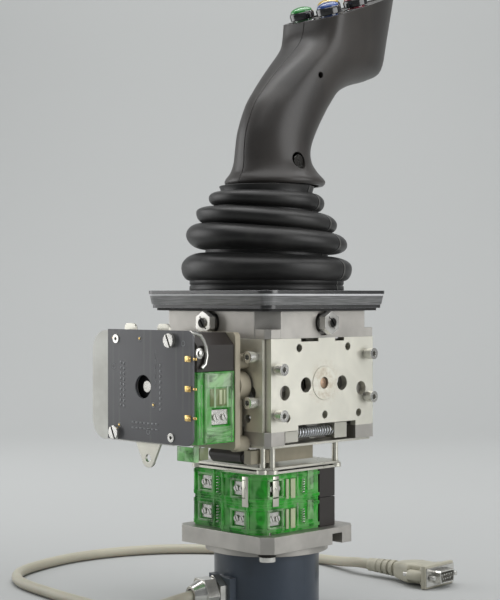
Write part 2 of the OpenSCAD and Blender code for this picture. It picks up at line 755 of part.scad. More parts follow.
// A centring arm that hangs from its hub on the axis, in the plane of a side plate on face k
module centring_arm(k, bore) on_face(k) translate([arm_in, 0, z_pivot]) difference() {
    union() {
        x_bar(8, 0, arm_t);
        block([0, -arm_hw, -spring_drop], [arm_t, arm_hw, 0]);
        translate([0, 0, -spring_drop]) x_bar(arm_hw, 0, arm_t);
    }
    x_bar(bore, -1, arm_t + 1);
    translate([0, 0, -spring_drop]) x_bar(2, -1, arm_t + 1);
}

module gimbal_ring() color("#8f8b84") {
    translate([0, 0, z_pivot]) difference() {
        union() {
            translate([0, 0, -ring_hh]) cylinder(r = ring_r, h = 2 * ring_hh, $fn = 96);
            for (s = [0, 180]) rotate([0, 0, s]) x_bar(journal_r + 2, ring_r - 2, arm_in + skin);
        }
        translate([0, 0, -ring_hh - 1]) cylinder(r = ring_r - ring_w, h = 2 * ring_hh + 2, $fn = 96);
        y_bar(trunnion_r + run_gap, -ring_r - 1, ring_r + 1);
    }
    translate([0, 0, z_pivot]) for (s = [0, 180]) rotate([0, 0, s])
        x_bar(journal_r, ring_r - 2, out_x - 1.2);
    centring_arm(0, journal_r - skin);
}

slot_gap = 1.1;

// The slotted bail follows the stick's tilt about Y; its slot lets the stick swing along Y
module bail() color("#9c988f") {
    difference() {
        translate([0, 0, z_pivot]) {
            difference() {
                union() {
                    intersection() {
                        x_bar(bail_out, -bail_hw, bail_hw, 96);
                        block([-bail_hw, -bail_out, 0], [bail_hw, bail_out, bail_out + 1]);
                    }
                    for (s = [90, 270]) rotate([0, 0, s]) x_bar(8, bail_in - 0.5, bail_out);
                }
                x_bar(bail_in, -bail_hw - 1, bail_hw + 1, 96);
                for (s = [90, 270]) rotate([0, 0, s]) x_bar(journal_r + fit_gap, bail_in - 2, bail_out + 1);
                block([-tube_r - slot_gap, -0.6 * bail_out, 15], [tube_r + slot_gap, 0.6 * bail_out, bail_out + 1]);
            }
        }
    }
    centring_arm(1, journal_r + fit_gap);
}

fork_in = cup_r + 4;
fork_hw = 6.5;
fork_top = 21;
socket_r = tube_r + 2.5;
socket_h = 5;

module stick_fork() color("#a8a49b") translate([0, 0, z_pivot]) {
    difference() {
        union() {
            for (s = [-1, 1]) {
                block([-fork_hw, min(s * fork_in, s * (fork_in + fork_t)), 0],
                    [fork_hw, max(s * fork_in, s * (fork_in + fork_t)), fork_top]);
                rotate([0, 0, 90 - 90 * s]) y_bar(fork_hw, fork_in, fork_in + fork_t);
            }
            block([-fork_hw, -fork_in - fork_t, fork_top - 5], [fork_hw, fork_in + fork_t, fork_top]);
            translate([0, 0, fork_top - skin]) cylinder(r = socket_r, h = socket_h);
        }
        translate([0, 0, fork_top]) cylinder(r = tube_r + fit_gap, h = socket_h + 1);
        cylinder(r = rod_r + 0.6, h = fork_top + 1);
    }
    for (s = [0, 180]) rotate([0, 0, s]) y_bar(trunnion_r, fork_in - skin, ring_r - 0.2);
}

tube_top = grip_rise - 2;

module stick_tube() color("#b9b6ad") translate([0, 0, z_pivot + fork_top]) difference() {
    cylinder(r = tube_r, h = tube_top - fork_top);
    translate([0, 0, -1]) cylinder(r = rod_r + 0.6, h = tube_top);
}

pin_hl = cup_r - 1;

// The twist rod: ball and cross pin at the pivot, rod through the stick, hub plate in the grip
hub_z = 12;
hub_t = 5;

module twist_rod() color("#b0ada5") translate([0, 0, z_pivot]) {
    sphere(r = ball_r);
    cylinder(r = rod_r, h = grip_rise + hub_z + hub_t);
    y_bar(cross_pin_r, -pin_hl, pin_hl, 24);
    translate([0, 0, tube_top + 0.2]) cylinder(r = tube_r + 2, h = hub_z + grip_rise - tube_top);
    difference() {
        translate([0, 0, grip_rise + hub_z]) linear_extrude(hub_t) hub_outline();
        translate([0, grip_screw_at[0], grip_rise + grip_screw_at[1]]) x_bar(grip_screw_r + fit_gap, 11, 30);
    }
}

slot_side = 0.6;

// The slotted cup that the cross pin turns
cup_bottom = -14;
cup_floor = -7.5;
cup_top = 4;

module drive_cup() color("#a39f95") translate([0, 0, z_pivot]) difference() {
    translate([0, 0, cup_bottom]) cylinder(r = cup_r, h = cup_top - cup_bottom);
    translate([0, 0, cup_floor]) cylinder(r = ball_r + 0.4, h = cup_top - cup_floor + 1);
    block([-cross_pin_r - slot_side, -cup_r - 1, cup_floor], [cross_pin_r + slot_side, cup_r + 1, cup_top + 1]);
    translate([0, 0, cup_bottom - 1]) cylinder(r = shaft_r + fit_gap, h = cup_floor - cup_bottom + 0.5);
}

arm_r = 22;

// The twist shaft with its cams in the switch block and its stop arm under the carrier plate
module twist_shaft() color("#b0ada5") {
    translate([0, 0, shaft_foot]) cylinder(r = shaft_r, h = z_pivot + cup_floor - 0.6 - shaft_foot);
    cam_t = 0.36 * level_h;
    for (i = [0:levels - 1], j = [0, 1]) translate([0, 0, z_block + i * level_h + 1.5 + j * 0.48 * level_h])
        rotate([0, 0, 55 * j + 130 * i]) difference() {
            cylinder(r = cam_r, h = cam_t);
            block([cam_r - 2.5, -cam_r, -1], [cam_r + 1, cam_r, cam_t + 1]);
        }
    translate([0, 0, bar_mid - 3]) {
        cylinder(r = shaft_r + 4, h = 6);
        block([-arm_r, -3, 0], [0, 3, 6]);
    }
}

// ---------------------------------------------------------------- front switch unit on the bail's shaft

// The unit's pieces are drawn on the +X face and turned to the front: local x is outwards,
// local y runs to the right as seen from the front.
board_back = board_y - board_t;
contact_x0 = mount_y + fit_gap;
contact_x1 = mount_y + contact_depth;
lug_x = contact_x1 + 0.6;
lug_t = 1.4;
backing_x = lug_x + lug_t;
backing_t = 2.2;
backing_lo = [-54, -33];
backing_hi = [30, 31.5];
lug_lo = [-27, -30];
lug_hi = [30, 30];
lug_foot = [-6, -42];
spacer_lo = [-38, -37];
spacer_hi = [34.5, 31];
contact_lo = [-25, -32];
contact_hi = [35, 31];
insulator_hi = [33.5, 31];
cam_bore_r = 15;
boss_y = 29;
spacer_bosses = [[-boss_y, 14], [boss_y, 14], [-boss_y, -34], [boss_y, -34]];
stud_r = 1.6;
studs = [[-24, 27], [24, 27], [-24, -27.5], [24, -27.5]];
board_mid = [5, 0.6];

module in_unit() on_face(1) translate([0, 0, z_pivot]) children();

module face_plate(x, t, lo, hi, r) translate([x, (lo[0] + hi[0]) / 2, (lo[1] + hi[1]) / 2])
    rotate([90, 0, 90]) linear_extrude(t) round_square(hi[0] - lo[0], hi[1] - lo[1], r);

module unit_spacer() color("#c2bda6") in_unit() difference() {
    union() {
        face_plate(mount_y - 4, 4, spacer_lo, spacer_hi, 3);
        for (p = spacer_bosses) translate([0, p[0], p[1]]) x_bar(4.5, out_x, mount_y - 4 + skin);
        translate([0, 27, 0]) x_bar(8.5, out_x + 1, mount_y - 4 + skin);
        block([out_x + 2, 22, -30], [mount_y - 4 + skin, 29, 0]);
    }
    x_bar(12, out_x - 1, mount_y + 1);
}

module contact_body(lo, hi) difference() {
    block([contact_x0, lo[0], lo[1]], [contact_x1, hi[0], hi[1]]);
    x_bar(cam_bore_r, contact_x0 - 1, contact_x1 + 1);
}

contact_split = 9;

terminal_x = contact_x0 + 11.5;
terminal_z = -17;
contact_foot_x = contact_x0 + 13;
contact_foot_h = 11;

module contact_block() color("#3aa655") in_unit() difference() {
    union() {
        contact_body(contact_lo, [contact_hi[0], contact_split - 0.1]);
        block([contact_foot_x, contact_lo[0], contact_lo[1] - contact_foot_h],
            [contact_x1, contact_hi[0] - 4, contact_lo[1] + skin]);
    }
    translate([0, 0, terminal_z]) block([terminal_x - 7.5, contact_hi[0] - 5, -4.8],
        [terminal_x + 7.5, contact_hi[0] + 1, 4.8]);
}

module insulator_block() color("#2b2624") in_unit() difference() {
    contact_body([contact_lo[0], contact_split + 0.1], insulator_hi);
    translate([contact_x0, insulator_hi[0], insulator_hi[1]]) rotate([45, 0, 0]) cube([3 * contact_depth, 10, 10], center = true);
    block([contact_x1 - 9, contact_lo[0] - 1, insulator_hi[1] - 9], [contact_x1 + 1, 18, insulator_hi[1] + 1]);
}

module unit_terminals() color("#cdc9b4") in_unit() {
    translate([terminal_x, contact_hi[0], terminal_z]) {
        block([-7, -4.7, -4.3], [7, -2, 4.3]);
        for (x = [-3.4, 3.4]) translate([x, -2, 0]) rotate([0, 0, 90]) slot_screw(2, 1.2, 0, 2);
    }
    for (z = pad_rows) {
        translate([board_y, board_mid[0] + board_w / 2 - 3.5, z]) block([0, -2, -1.6], [0.3, 2, 1.6]);
        translate([0, board_mid[0] + board_w / 2 - 1.5, z]) x_bar(0.6, board_back - 2, board_y + 0.3, 16);
    }
}

module lug_plate() color("#c9c5ba") in_unit() difference() {
    union() {
        face_plate(lug_x, lug_t, lug_lo, lug_hi, 3);
        translate([lug_x, lug_foot[0], lug_foot[1]]) rotate([90, 0, 90]) linear_extrude(lug_t)
            polygon([[-13, 13], [13, 13], [5, -2], [-5, -2]]);
        translate([0, lug_foot[0], lug_foot[1]]) x_bar(5.5, lug_x, lug_x + lug_t);
        for (y = [-22, 7]) face_plate(lug_x, lug_t, [y - 5, lug_hi[1] - 10], [y + 5, lug_hi[1] + 6], 3);
    }
    x_bar(cam_bore_r, lug_x - 1, lug_x + 3);
    translate([0, lug_foot[0], lug_foot[1]]) x_bar(2.3, lug_x - 1, lug_x + 3);
}

module backing_plate() color("#cfccc0") in_unit() difference() {
    face_plate(backing_x, backing_t, backing_lo, backing_hi, 12);
    x_bar(9, backing_x - 1, backing_x + backing_t + 1);
}

pad_rows = [17, 0.4, -15.8];

module circuit_board() color("#54565c") in_unit() difference() {
    lo = [board_mid[0] - board_w / 2, board_mid[1] - board_h / 2];
    hi = [board_mid[0] + board_w / 2, board_mid[1] + board_h / 2];
    union() {
        face_plate(board_back, board_t, lo, hi, 5);
        block([board_back, lo[0], lo[1]], [board_y, lo[0] + 10, hi[1]]);
    }
    x_bar(6.75, board_back - 1, board_y + 1);
    for (p = studs) translate([0, p[0], p[1]]) x_bar(stud_r + 0.1, board_back - 1, board_y + 1);
    for (z = pad_rows) translate([0, board_mid[0] + board_w / 2 - 1.5, z]) x_bar(0.7, board_back - 1, board_y + 1, 16);
}

module board_screws() color("#c0bdb5") in_unit() for (i = [0:3]) translate([board_y, studs[i][0], studs[i][1]]) {
    if (i == 1 || i == 2) slot_screw(4, 2.6, board_y - backing_x - backing_t, stud_r);
    else difference() {
        union() {
            x_bar(2.6, 0, 0.5);
            x_bar(stud_r, backing_x + backing_t - board_y, skin);
        }
        x_bar(1, -1, 1, 24);
    }
    x_bar(3, backing_x + backing_t - board_y, -board_t, 24);
}

// The bail's two shafts: a stub at the rear, and the cam shaft that runs through the front unit
module cam_shaft() color("#b9b6ad") translate([0, 0, z_pivot]) {
    y_bar(journal_r, bail_in + 0.1, out_x - 1.2);
    rotate([0, 0, 180]) y_bar(journal_r, bail_in + 0.1, board_y - 3);
    step = contact_depth / 4;
    for (i = [0:2]) translate([0, -contact_x0 - (i + 0.7) * step, 0]) rotate([0, 70 * i, 0]) difference() {
        y_bar(cam_r + 1, -0.5 * step, 0);
        block([cam_r - 2, -step, -cam_r - 1], [cam_r + 2, step, cam_r + 1]);
    }
    translate([0, -board_back + 1.4, 0]) y_bar(8, 0, board_back - 1.4 - backing_x - backing_t - 0.8);
}

// ---------------------------------------------------------------- grip

// Stations of the grip: rear point, front point, half width, place of the widest point along
// the section, and how boxy the rear and the front half are. Points are [forward, up].
stations = [
    [-23, 0, 37.5, 0, 30.2, 0.5, 2, 2],
    [-24, 1.8, 38.8, 1.8, 31.4, 0.5, 2, 2],
    [-23.4, 4, 38, 4, 30.6, 0.5, 2, 2],
    [-21, 8, 34.6, 8, 27, 0.5, 2, 2],
    [-19.8, 14, 31, 14, 23.6, 0.5, 2, 2],
    [-19.5, 22, 30.7, 22, 22, 0.5, 2, 2],
    [-17.5, 34, 35.5, 32, 21.2, 0.5, 2.1, 2],
    [-10.5, 50, 43.5, 44, 21.2, 0.48, 2.2, 2],
    [-1.5, 61, 51.5, 54.5, 21.4, 0.45, 2.4, 2],
    [8, 71, 60.5, 63, 21.8, 0.4, 2.6, 1.9],
    [17.5, 80, 74, 69, 22.6, 0.34, 2.9, 1.8],
    [25, 87, 93, 74.5, 23.4, 0.28, 3.1, 1.75],
    [30, 92.5, 106.5, 82, 24, 0.22, 3.2, 1.7],
    [33, 98.5, 112.5, 103, 24.6, 0.18, 3.3, 1.7]];
head_rear = [34.3, 106];
head_depth = 91;
head_top = concat(head_rear, head_rear + head_depth * [cos(panel_tilt), sin(panel_tilt)],
    [25, 0.17, 3.3, 1.7]);
half_steps = 13;
loft_steps = 2;
grip_sections = smooth(concat(stations, [head_top]), loft_steps);

function power(v, n) = pow(max(v, 0), 2 / n);

// A point of a section at angle t, from the front (0) over one side to the rear (180)
function section_point(g, t, inset) = let (
        rear = [g[0], g[1]],
        front = [g[2], g[3]],
        depth = norm(front - rear),
        wide = g[5] * depth,
        half = t < 90 ? depth - wide - inset : wide - inset,
        n = t < 90 ? g[7] : g[6],
        along = wide + (t < 90 ? 1 : -1) * half * power(abs(cos(t)), n),
        mid = rear + along * unit(front - rear))
    [(g[4] - inset) * power(sin(t), n), mid[0], mid[1]];

// The outline of a section in its own plane: forward, side
function section_outline(g, inset) = [for (i = [0:2 * half_steps - 1])
    let (t = 180 * i / half_steps,
        p = section_point(g, t <= 180 ? t : 360 - t, inset),
        along = norm([p[1], p[2]] - [g[0], g[1]]) )
    [along, (t <= 180 ? 1 : -1) * p[0]]];

module hub_outline() rotate([0, 0, 90]) translate([-19.6, 0]) polygon(section_outline(stations[4], shell_t + 1.5));

// Half a grip shell: side 1 is the right half (+X), side -1 the left half
module half_shell(side) {
    k = half_steps + 1;
    seam = 0.05;
    n = len(grip_sections);
    angles = [for (i = [0:half_steps]) 180 * i / half_steps];
    points = [for (g = grip_sections) each concat(
        [for (t = angles) section_point(g, t, 0)],
        [for (i = [half_steps:-1:0]) section_point(g, angles[i], shell_t)])];
    m = 2 * k;
    walls = [for (s = [0:n - 2], j = [0:m - 1])
        [s * m + j, s * m + (j + 1) % m, (s + 1) * m + (j + 1) % m, (s + 1) * m + j]];
    ring_ends = [for (j = [0:k - 2]) [j, m - 1 - j, m - 2 - j, j + 1]];
    top_ends = [for (j = [0:k - 2]) let (b = (n - 1) * m) [b + j, b + j + 1, b + m - 2 - j, b + m - 1 - j]];
    faces = concat(walls, ring_ends, top_ends);
    translate([side * seam, 0, z_grip]) mirror([side < 0 ? 1 : 0, 0, 0]) polyhedron(points, faces);
}

grip_screw_at = [5.3, 14.5];
grip_screw_r = 1.5;
grip_seat_x = 20.8;
side_hole_at = [26, 69];

module grip_shell_left() color("#3c3b3a") half_shell(-1);
module grip_shell_right() color("#3c3b3a") difference() {
    half_shell(1);
    translate([0, grip_screw_at[0], z_grip + grip_screw_at[1]]) {
        x_bar(4.5, grip_seat_x, 40, 24);
        x_bar(grip_screw_r + 0.2, 5, 40, 24);
    }
    translate([0, side_hole_at[0], z_grip + side_hole_at[1]]) x_bar(2, 5, 40, 24);
}

module grip_screws() color("#8d8a84") translate([0, grip_screw_at[0], z_grip + grip_screw_at[1]])
    translate([grip_seat_x + fit_gap, 0, 0]) slot_screw(3.6, 1.4, 8, grip_screw_r);

// The head panel's frame: x forward along the slope, z out of the panel
module in_head() translate([0, head_rear[0], z_grip + head_rear[1]]) rotate([panel_tilt, 0, 0])
    rotate([0, 0, 90]) children();

panel_drop = 0.8;
panel_gap = 0.8;

// The panel's rim leans with the front wall of the head
panel_lean = [[1, 0, 0.5, 0], [0, 1, 0, 0], [0, 0, 1, 0], [0, 0, 0, 1]];

button_places = [[button_row, -button_side], [button_row, button_side],
    [button_row + row_pitch, -button_side], [button_row + row_pitch, button_side]];
stem_r = button_d / 2 - 2.2;
boss_h = 5;
button_gap = 0.3;

module head_panel() color("#4a4948") in_head() difference() {
    union() {
        multmatrix(panel_lean) translate([0, 0, -panel_drop - panel_t]) linear_extrude(panel_t)
            polygon(section_outline(head_top, shell_t + panel_gap));
        for (p = button_places) translate([p[0], -p[1], -panel_drop - panel_t - boss_h])
            cylinder(r = stem_r + 0.9, h = boss_h + skin, $fn = 32);
    }
    for (p = button_places) translate([p[0], -p[1], -panel_drop - panel_t - boss_h - 1])
        cylinder(r = stem_r + button_gap, h = boss_h + 2 * panel_t + 2);
}

// A push button: a stem in the panel and a domed cap over it
module push_button(i) in_head() translate([button_places[i][0], -button_places[i][1], 0]) {
    cap_z = button_travel + 0.2 - panel_drop;
    cap_h = 6.5;
    dome = 3.4;
    ball = (pow(button_d / 2, 2) + dome * dome) / (2 * dome);
    translate([0, 0, -panel_drop - panel_t - 4.5]) cylinder(r = stem_r, h = panel_drop + panel_t + 4.5 + cap_z + skin);
    translate([0, 0, cap_z]) cylinder(d = button_d, h = cap_h - dome / 2);
    translate([0, 0, cap_z + cap_h - dome / 2 - skin]) intersection() {
        translate([0, 0, dome - ball]) sphere(r = ball, $fn = 64);
        cylinder(d = button_d, h = dome + 1);
    }
}

module button_green() color("#2f9a3f") push_button(1);
module button_blue() color("#2a4f9c") push_button(0);
module button_yellow() color("#d9b21f") push_button(3);
module button_red() color("#b3263a") push_button(2);

// ---------------------------------------------------------------- drawing

encoder_body();
cable_gland();
cable();
strain_relief();
plug_hood();
plug_shell();
bottom_flange();
flange_screws();
switch_level_lower();
switch_level_upper();
block_ends();
block_terminals();
switch_plates();
spacer_posts();
stop_bar();
spring_barrel();
carrier_plate();
lower_frame();
side_plate_right();
side_plate_front();
side_plate_left();
side_plate_rear();
side_plate_screws();
upper_housing();
clamp_bolts();
tilt_bushes();
plate_gasket();
top_plate();
bellows();
centring_spring_x();
centring_spring_y();
seat_x_low();
seat_x_high();
seat_y_low();
seat_y_high();
unit_spacer();
contact_block();
insulator_block();
unit_terminals();
lug_plate();
backing_plate();
circuit_board();
board_screws();
gimbal_ring();
stick_fork();
stick_tube();
twist_rod();
grip_shell_left();
grip_shell_right();
head_panel();
grip_screws();
button_green();
button_blue();
button_yellow();
button_red();
bail();
cam_shaft();
drive_cup();
twist_shaft();
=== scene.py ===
"""Two-axis industrial joystick: finishes, cord, bellows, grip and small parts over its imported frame.

Lengths in the piece builders are millimetres, as in the part's own drawing. Pieces are made in metres,
and the lengths in the finishes are metres.
"""

import json
from math import asin, copysign, cos, degrees, pi, radians, sin, sqrt, tan

import bmesh
import bpy
from mathutils import Matrix, Vector
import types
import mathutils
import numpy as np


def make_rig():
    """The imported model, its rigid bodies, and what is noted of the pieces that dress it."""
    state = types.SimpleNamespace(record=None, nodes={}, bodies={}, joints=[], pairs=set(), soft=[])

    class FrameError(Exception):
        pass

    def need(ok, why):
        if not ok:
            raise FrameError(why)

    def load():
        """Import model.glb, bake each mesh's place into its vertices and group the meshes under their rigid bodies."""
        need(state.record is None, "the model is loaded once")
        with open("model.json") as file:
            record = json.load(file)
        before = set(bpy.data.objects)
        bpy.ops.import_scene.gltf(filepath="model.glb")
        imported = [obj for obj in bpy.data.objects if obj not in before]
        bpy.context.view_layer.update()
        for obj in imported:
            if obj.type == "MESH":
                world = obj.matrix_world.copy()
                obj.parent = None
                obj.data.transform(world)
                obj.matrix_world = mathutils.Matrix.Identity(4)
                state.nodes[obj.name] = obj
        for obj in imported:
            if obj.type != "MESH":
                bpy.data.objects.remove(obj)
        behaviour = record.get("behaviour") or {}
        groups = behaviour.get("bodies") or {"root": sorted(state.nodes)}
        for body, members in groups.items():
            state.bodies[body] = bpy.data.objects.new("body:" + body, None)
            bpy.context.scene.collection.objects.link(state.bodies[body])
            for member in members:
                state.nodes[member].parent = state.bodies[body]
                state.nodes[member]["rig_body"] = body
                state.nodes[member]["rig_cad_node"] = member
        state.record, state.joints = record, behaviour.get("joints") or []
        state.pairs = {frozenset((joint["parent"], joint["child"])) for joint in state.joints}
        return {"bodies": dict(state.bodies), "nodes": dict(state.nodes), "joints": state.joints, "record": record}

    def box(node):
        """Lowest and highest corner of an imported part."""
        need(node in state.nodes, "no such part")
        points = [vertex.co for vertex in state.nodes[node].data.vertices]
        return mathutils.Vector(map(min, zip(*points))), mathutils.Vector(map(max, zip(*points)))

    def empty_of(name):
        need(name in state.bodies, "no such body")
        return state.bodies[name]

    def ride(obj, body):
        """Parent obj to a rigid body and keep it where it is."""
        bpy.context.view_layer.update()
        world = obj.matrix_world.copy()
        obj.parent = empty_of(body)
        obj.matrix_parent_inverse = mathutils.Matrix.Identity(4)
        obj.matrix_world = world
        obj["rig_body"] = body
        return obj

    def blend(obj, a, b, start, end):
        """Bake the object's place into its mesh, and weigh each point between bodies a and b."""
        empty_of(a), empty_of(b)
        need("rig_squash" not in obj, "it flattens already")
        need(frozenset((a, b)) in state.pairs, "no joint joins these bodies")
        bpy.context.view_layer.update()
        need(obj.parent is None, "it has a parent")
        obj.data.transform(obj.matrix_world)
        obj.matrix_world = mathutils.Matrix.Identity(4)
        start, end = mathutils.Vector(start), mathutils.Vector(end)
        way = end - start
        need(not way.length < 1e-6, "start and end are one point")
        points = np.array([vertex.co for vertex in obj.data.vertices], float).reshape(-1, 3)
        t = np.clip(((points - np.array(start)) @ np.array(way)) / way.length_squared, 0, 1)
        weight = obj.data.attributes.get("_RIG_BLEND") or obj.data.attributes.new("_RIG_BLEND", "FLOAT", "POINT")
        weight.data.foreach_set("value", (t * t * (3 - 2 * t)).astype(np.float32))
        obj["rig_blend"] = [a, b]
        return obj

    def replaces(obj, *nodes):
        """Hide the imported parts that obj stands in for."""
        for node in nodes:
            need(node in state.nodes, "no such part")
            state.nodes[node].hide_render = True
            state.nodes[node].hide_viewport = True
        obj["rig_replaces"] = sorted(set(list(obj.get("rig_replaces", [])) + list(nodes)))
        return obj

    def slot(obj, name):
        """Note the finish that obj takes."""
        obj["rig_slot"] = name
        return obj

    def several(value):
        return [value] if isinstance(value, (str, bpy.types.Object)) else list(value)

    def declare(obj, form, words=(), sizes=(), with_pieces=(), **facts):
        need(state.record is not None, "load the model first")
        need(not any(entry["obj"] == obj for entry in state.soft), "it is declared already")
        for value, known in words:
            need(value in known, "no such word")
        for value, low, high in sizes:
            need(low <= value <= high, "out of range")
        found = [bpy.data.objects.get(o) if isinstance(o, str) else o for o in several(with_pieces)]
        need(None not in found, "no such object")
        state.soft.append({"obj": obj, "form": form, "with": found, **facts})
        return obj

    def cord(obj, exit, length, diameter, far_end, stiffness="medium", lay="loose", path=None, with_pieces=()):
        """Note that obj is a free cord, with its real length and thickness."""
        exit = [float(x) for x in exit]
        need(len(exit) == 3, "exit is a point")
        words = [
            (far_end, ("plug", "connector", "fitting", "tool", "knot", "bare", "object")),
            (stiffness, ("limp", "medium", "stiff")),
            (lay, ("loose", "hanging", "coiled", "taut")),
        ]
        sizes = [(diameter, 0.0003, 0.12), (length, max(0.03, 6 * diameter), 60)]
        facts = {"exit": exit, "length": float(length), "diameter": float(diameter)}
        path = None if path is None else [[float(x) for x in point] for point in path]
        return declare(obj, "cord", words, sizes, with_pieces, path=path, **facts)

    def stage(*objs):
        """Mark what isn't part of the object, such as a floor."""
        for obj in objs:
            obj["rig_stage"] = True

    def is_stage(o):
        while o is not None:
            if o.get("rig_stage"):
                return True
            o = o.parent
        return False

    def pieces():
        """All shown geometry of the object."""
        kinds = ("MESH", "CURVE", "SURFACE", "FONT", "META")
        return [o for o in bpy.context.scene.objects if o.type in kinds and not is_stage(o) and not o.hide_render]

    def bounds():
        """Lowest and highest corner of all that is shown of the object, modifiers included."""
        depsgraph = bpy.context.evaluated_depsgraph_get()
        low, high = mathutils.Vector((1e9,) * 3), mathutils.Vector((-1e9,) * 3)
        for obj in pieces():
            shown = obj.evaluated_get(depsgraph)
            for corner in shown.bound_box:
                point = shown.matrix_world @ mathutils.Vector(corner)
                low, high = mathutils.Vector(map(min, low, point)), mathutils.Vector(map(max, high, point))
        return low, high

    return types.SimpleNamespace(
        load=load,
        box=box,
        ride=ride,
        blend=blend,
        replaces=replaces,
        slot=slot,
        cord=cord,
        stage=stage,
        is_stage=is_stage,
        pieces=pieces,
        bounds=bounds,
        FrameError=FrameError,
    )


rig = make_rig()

bl_info = {
    "name": "Industrial Joystick Dressing",
    "version": (1, 0, 0),
    "blender": (4, 5, 0),
    "location": "View3D > Sidebar > Joystick",
    "description": "Builds the finishes, soft parts and small parts of an industrial joystick",
    "category": "Object",
}

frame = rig.load()
CAD_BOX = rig.bounds()
MM = 0.001


def corners(node):
    """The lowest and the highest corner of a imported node, in millimetres."""
    return [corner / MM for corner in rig.box(node)]


def level_of(node, end):
    """Lowest (0) or highest (1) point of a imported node, in millimetres."""
    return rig.box(node)[end].z / MM


CUP_RISE = 4.0
GRIP_RISE = 120.4
PIVOT = level_of("drive_cup", 1) - CUP_RISE
LOCK_SCREW_Z = (level_of("clamp_bolts", 0) + level_of("clamp_bolts", 1)) / 2
GRIP_BASE = PIVOT + GRIP_RISE
BELLOWS_FOOT = level_of("top_plate", 1)
RIGHT = Vector((sqrt(0.5), sqrt(0.5), 0.0))
TOWARDS = Vector((sqrt(0.5), -sqrt(0.5), 0.0))
UP = Vector((0, 0, 1))
X, Y, Z = (1, 0, 0), (0, 1, 0), (0, 0, 1)


# ---------------------------------------------------------------- sizes and colours


def length(name, text, value, low, high):
    return bpy.props.FloatProperty(
        name=name, description=text, default=value, min=low, max=high, subtype="DISTANCE", unit="LENGTH"
    )


def power(name, text, value):
    return bpy.props.FloatProperty(name=name, description=text, default=value, min=0, unit="POWER")


def tint(name, text, value):
    return bpy.props.FloatVectorProperty(
        name=name, description=text, default=value, size=3, min=0.0, max=1.0, subtype="COLOR"
    )


class JoystickSizes(bpy.types.PropertyGroup):
    """Sizes of the pieces that dress the frame"""

    cable_diameter: length("Cable diameter", "Outer diameter of the cable", 0.007, 0.004, 0.0075)
    wire_diameter: length("Spring wire", "Wire diameter of the centring springs", 0.0009, 0.0006, 0.0012)
    cap_diameter: length("Button diameter", "Diameter of the push buttons", 0.016, 0.012, 0.0162)
    groove_depth: length("Seam depth", "Depth of the groove between the grip's halves", 0.00035, 0.0, 0.001)
    spring_turns: bpy.props.IntProperty(
        name="Spring turns", description="Number of turns of a centring spring", default=14, min=8, max=24
    )


class JoystickColours(bpy.types.PropertyGroup):
    """Colours of the main finishes"""

    grip: tint("Grip", "Moulded plastic of the grip", (0.036, 0.0325, 0.030))
    rubber: tint("Bellows", "Rubber of the bellows", (0.0075, 0.0072, 0.0070))
    cast: tint("Castings", "Cast aluminium of the housing, frame and flange", (0.52, 0.50, 0.465))
    plate: tint("Plates", "Nickel-plated steel of the thin plates", (0.74, 0.725, 0.64))
    top: tint("Top plate", "Anodised top plate", (0.235, 0.235, 0.235))
    block: tint("Contact blocks", "Clear plastic of the contact blocks", (0.035, 0.44, 0.035))
    board: tint("Board", "Lacquer of the circuit board", (0.094, 0.095, 0.102))
    cord: tint("Cord", "Jacket of the cable and the plug's hood", (0.46, 0.44, 0.35))
    encoder: tint("Encoder", "Paint of the encoder", (0.030, 0.044, 0.066))


class JoystickStudio(bpy.types.PropertyGroup):
    """Camera and light of the stage"""

    lens: bpy.props.FloatProperty(
        name="Lens", description="Focal length of the camera", default=87.0, min=35, max=200, unit="CAMERA"
    )
    distance: length("Camera distance", "Distance of the camera from the stick's axis", 0.9, 0.5, 3.0)
    eye: length("Camera height", "Height of the camera over the floor", 0.195, 0.05, 1.5)
    key: power("Key light", "Power of the light on the right", 9.0)
    fill: power("Fill light", "Power of the light on the left", 6.2)
    roof: power("Top light", "Power of the light overhead", 15.0)
    back: power("Backdrop light", "Power of the light on the backdrop", 20.0)
    floor: tint("Floor", "Colour of the floor and backdrop", (0.462, 0.472, 0.468))


# ---------------------------------------------------------------- shader expressions


def shade(colour, factor):
    return tuple(min(1.0, c * factor) for c in colour)


def mixed(a, b, part):
    return tuple(x + (y - x) * part for x, y in zip(a, b))


class Wire:
    """A node's output. Arithmetic on numbers adds the Math nodes that work it out."""

    def __init__(self, paint, socket):
        self.paint = paint
        self.socket = socket

    def maths(self, operation, *others, clamp=False):
        settings = {"operation": operation, "use_clamp": clamp}
        return self.paint.node("ShaderNodeMath", settings, [self, *others])

    def __add__(self, other):
        return self.maths("ADD", other)

    __radd__ = __add__

    def __sub__(self, other):
        return self.maths("SUBTRACT", other)

    def __rsub__(self, other):
        return self.paint.node("ShaderNodeMath", {"operation": "SUBTRACT"}, [other, self])

    def __mul__(self, other):
        return self.maths("MULTIPLY", other)

    __rmul__ = __mul__

    def __pow__(self, other):
        return self.maths("POWER", other)

    def __abs__(self):
        return self.maths("ABSOLUTE")

    def rise(self, low, high, bottom=0.0, top=1.0):
        """A smooth step from bottom, below low, to top, above high."""
        return self.paint.node(
            "ShaderNodeMapRange",
            {"interpolation_type": "SMOOTHSTEP"},
            {"Value": self, "From Min": low, "From Max": high, "To Min": bottom, "To Max": top},
        )


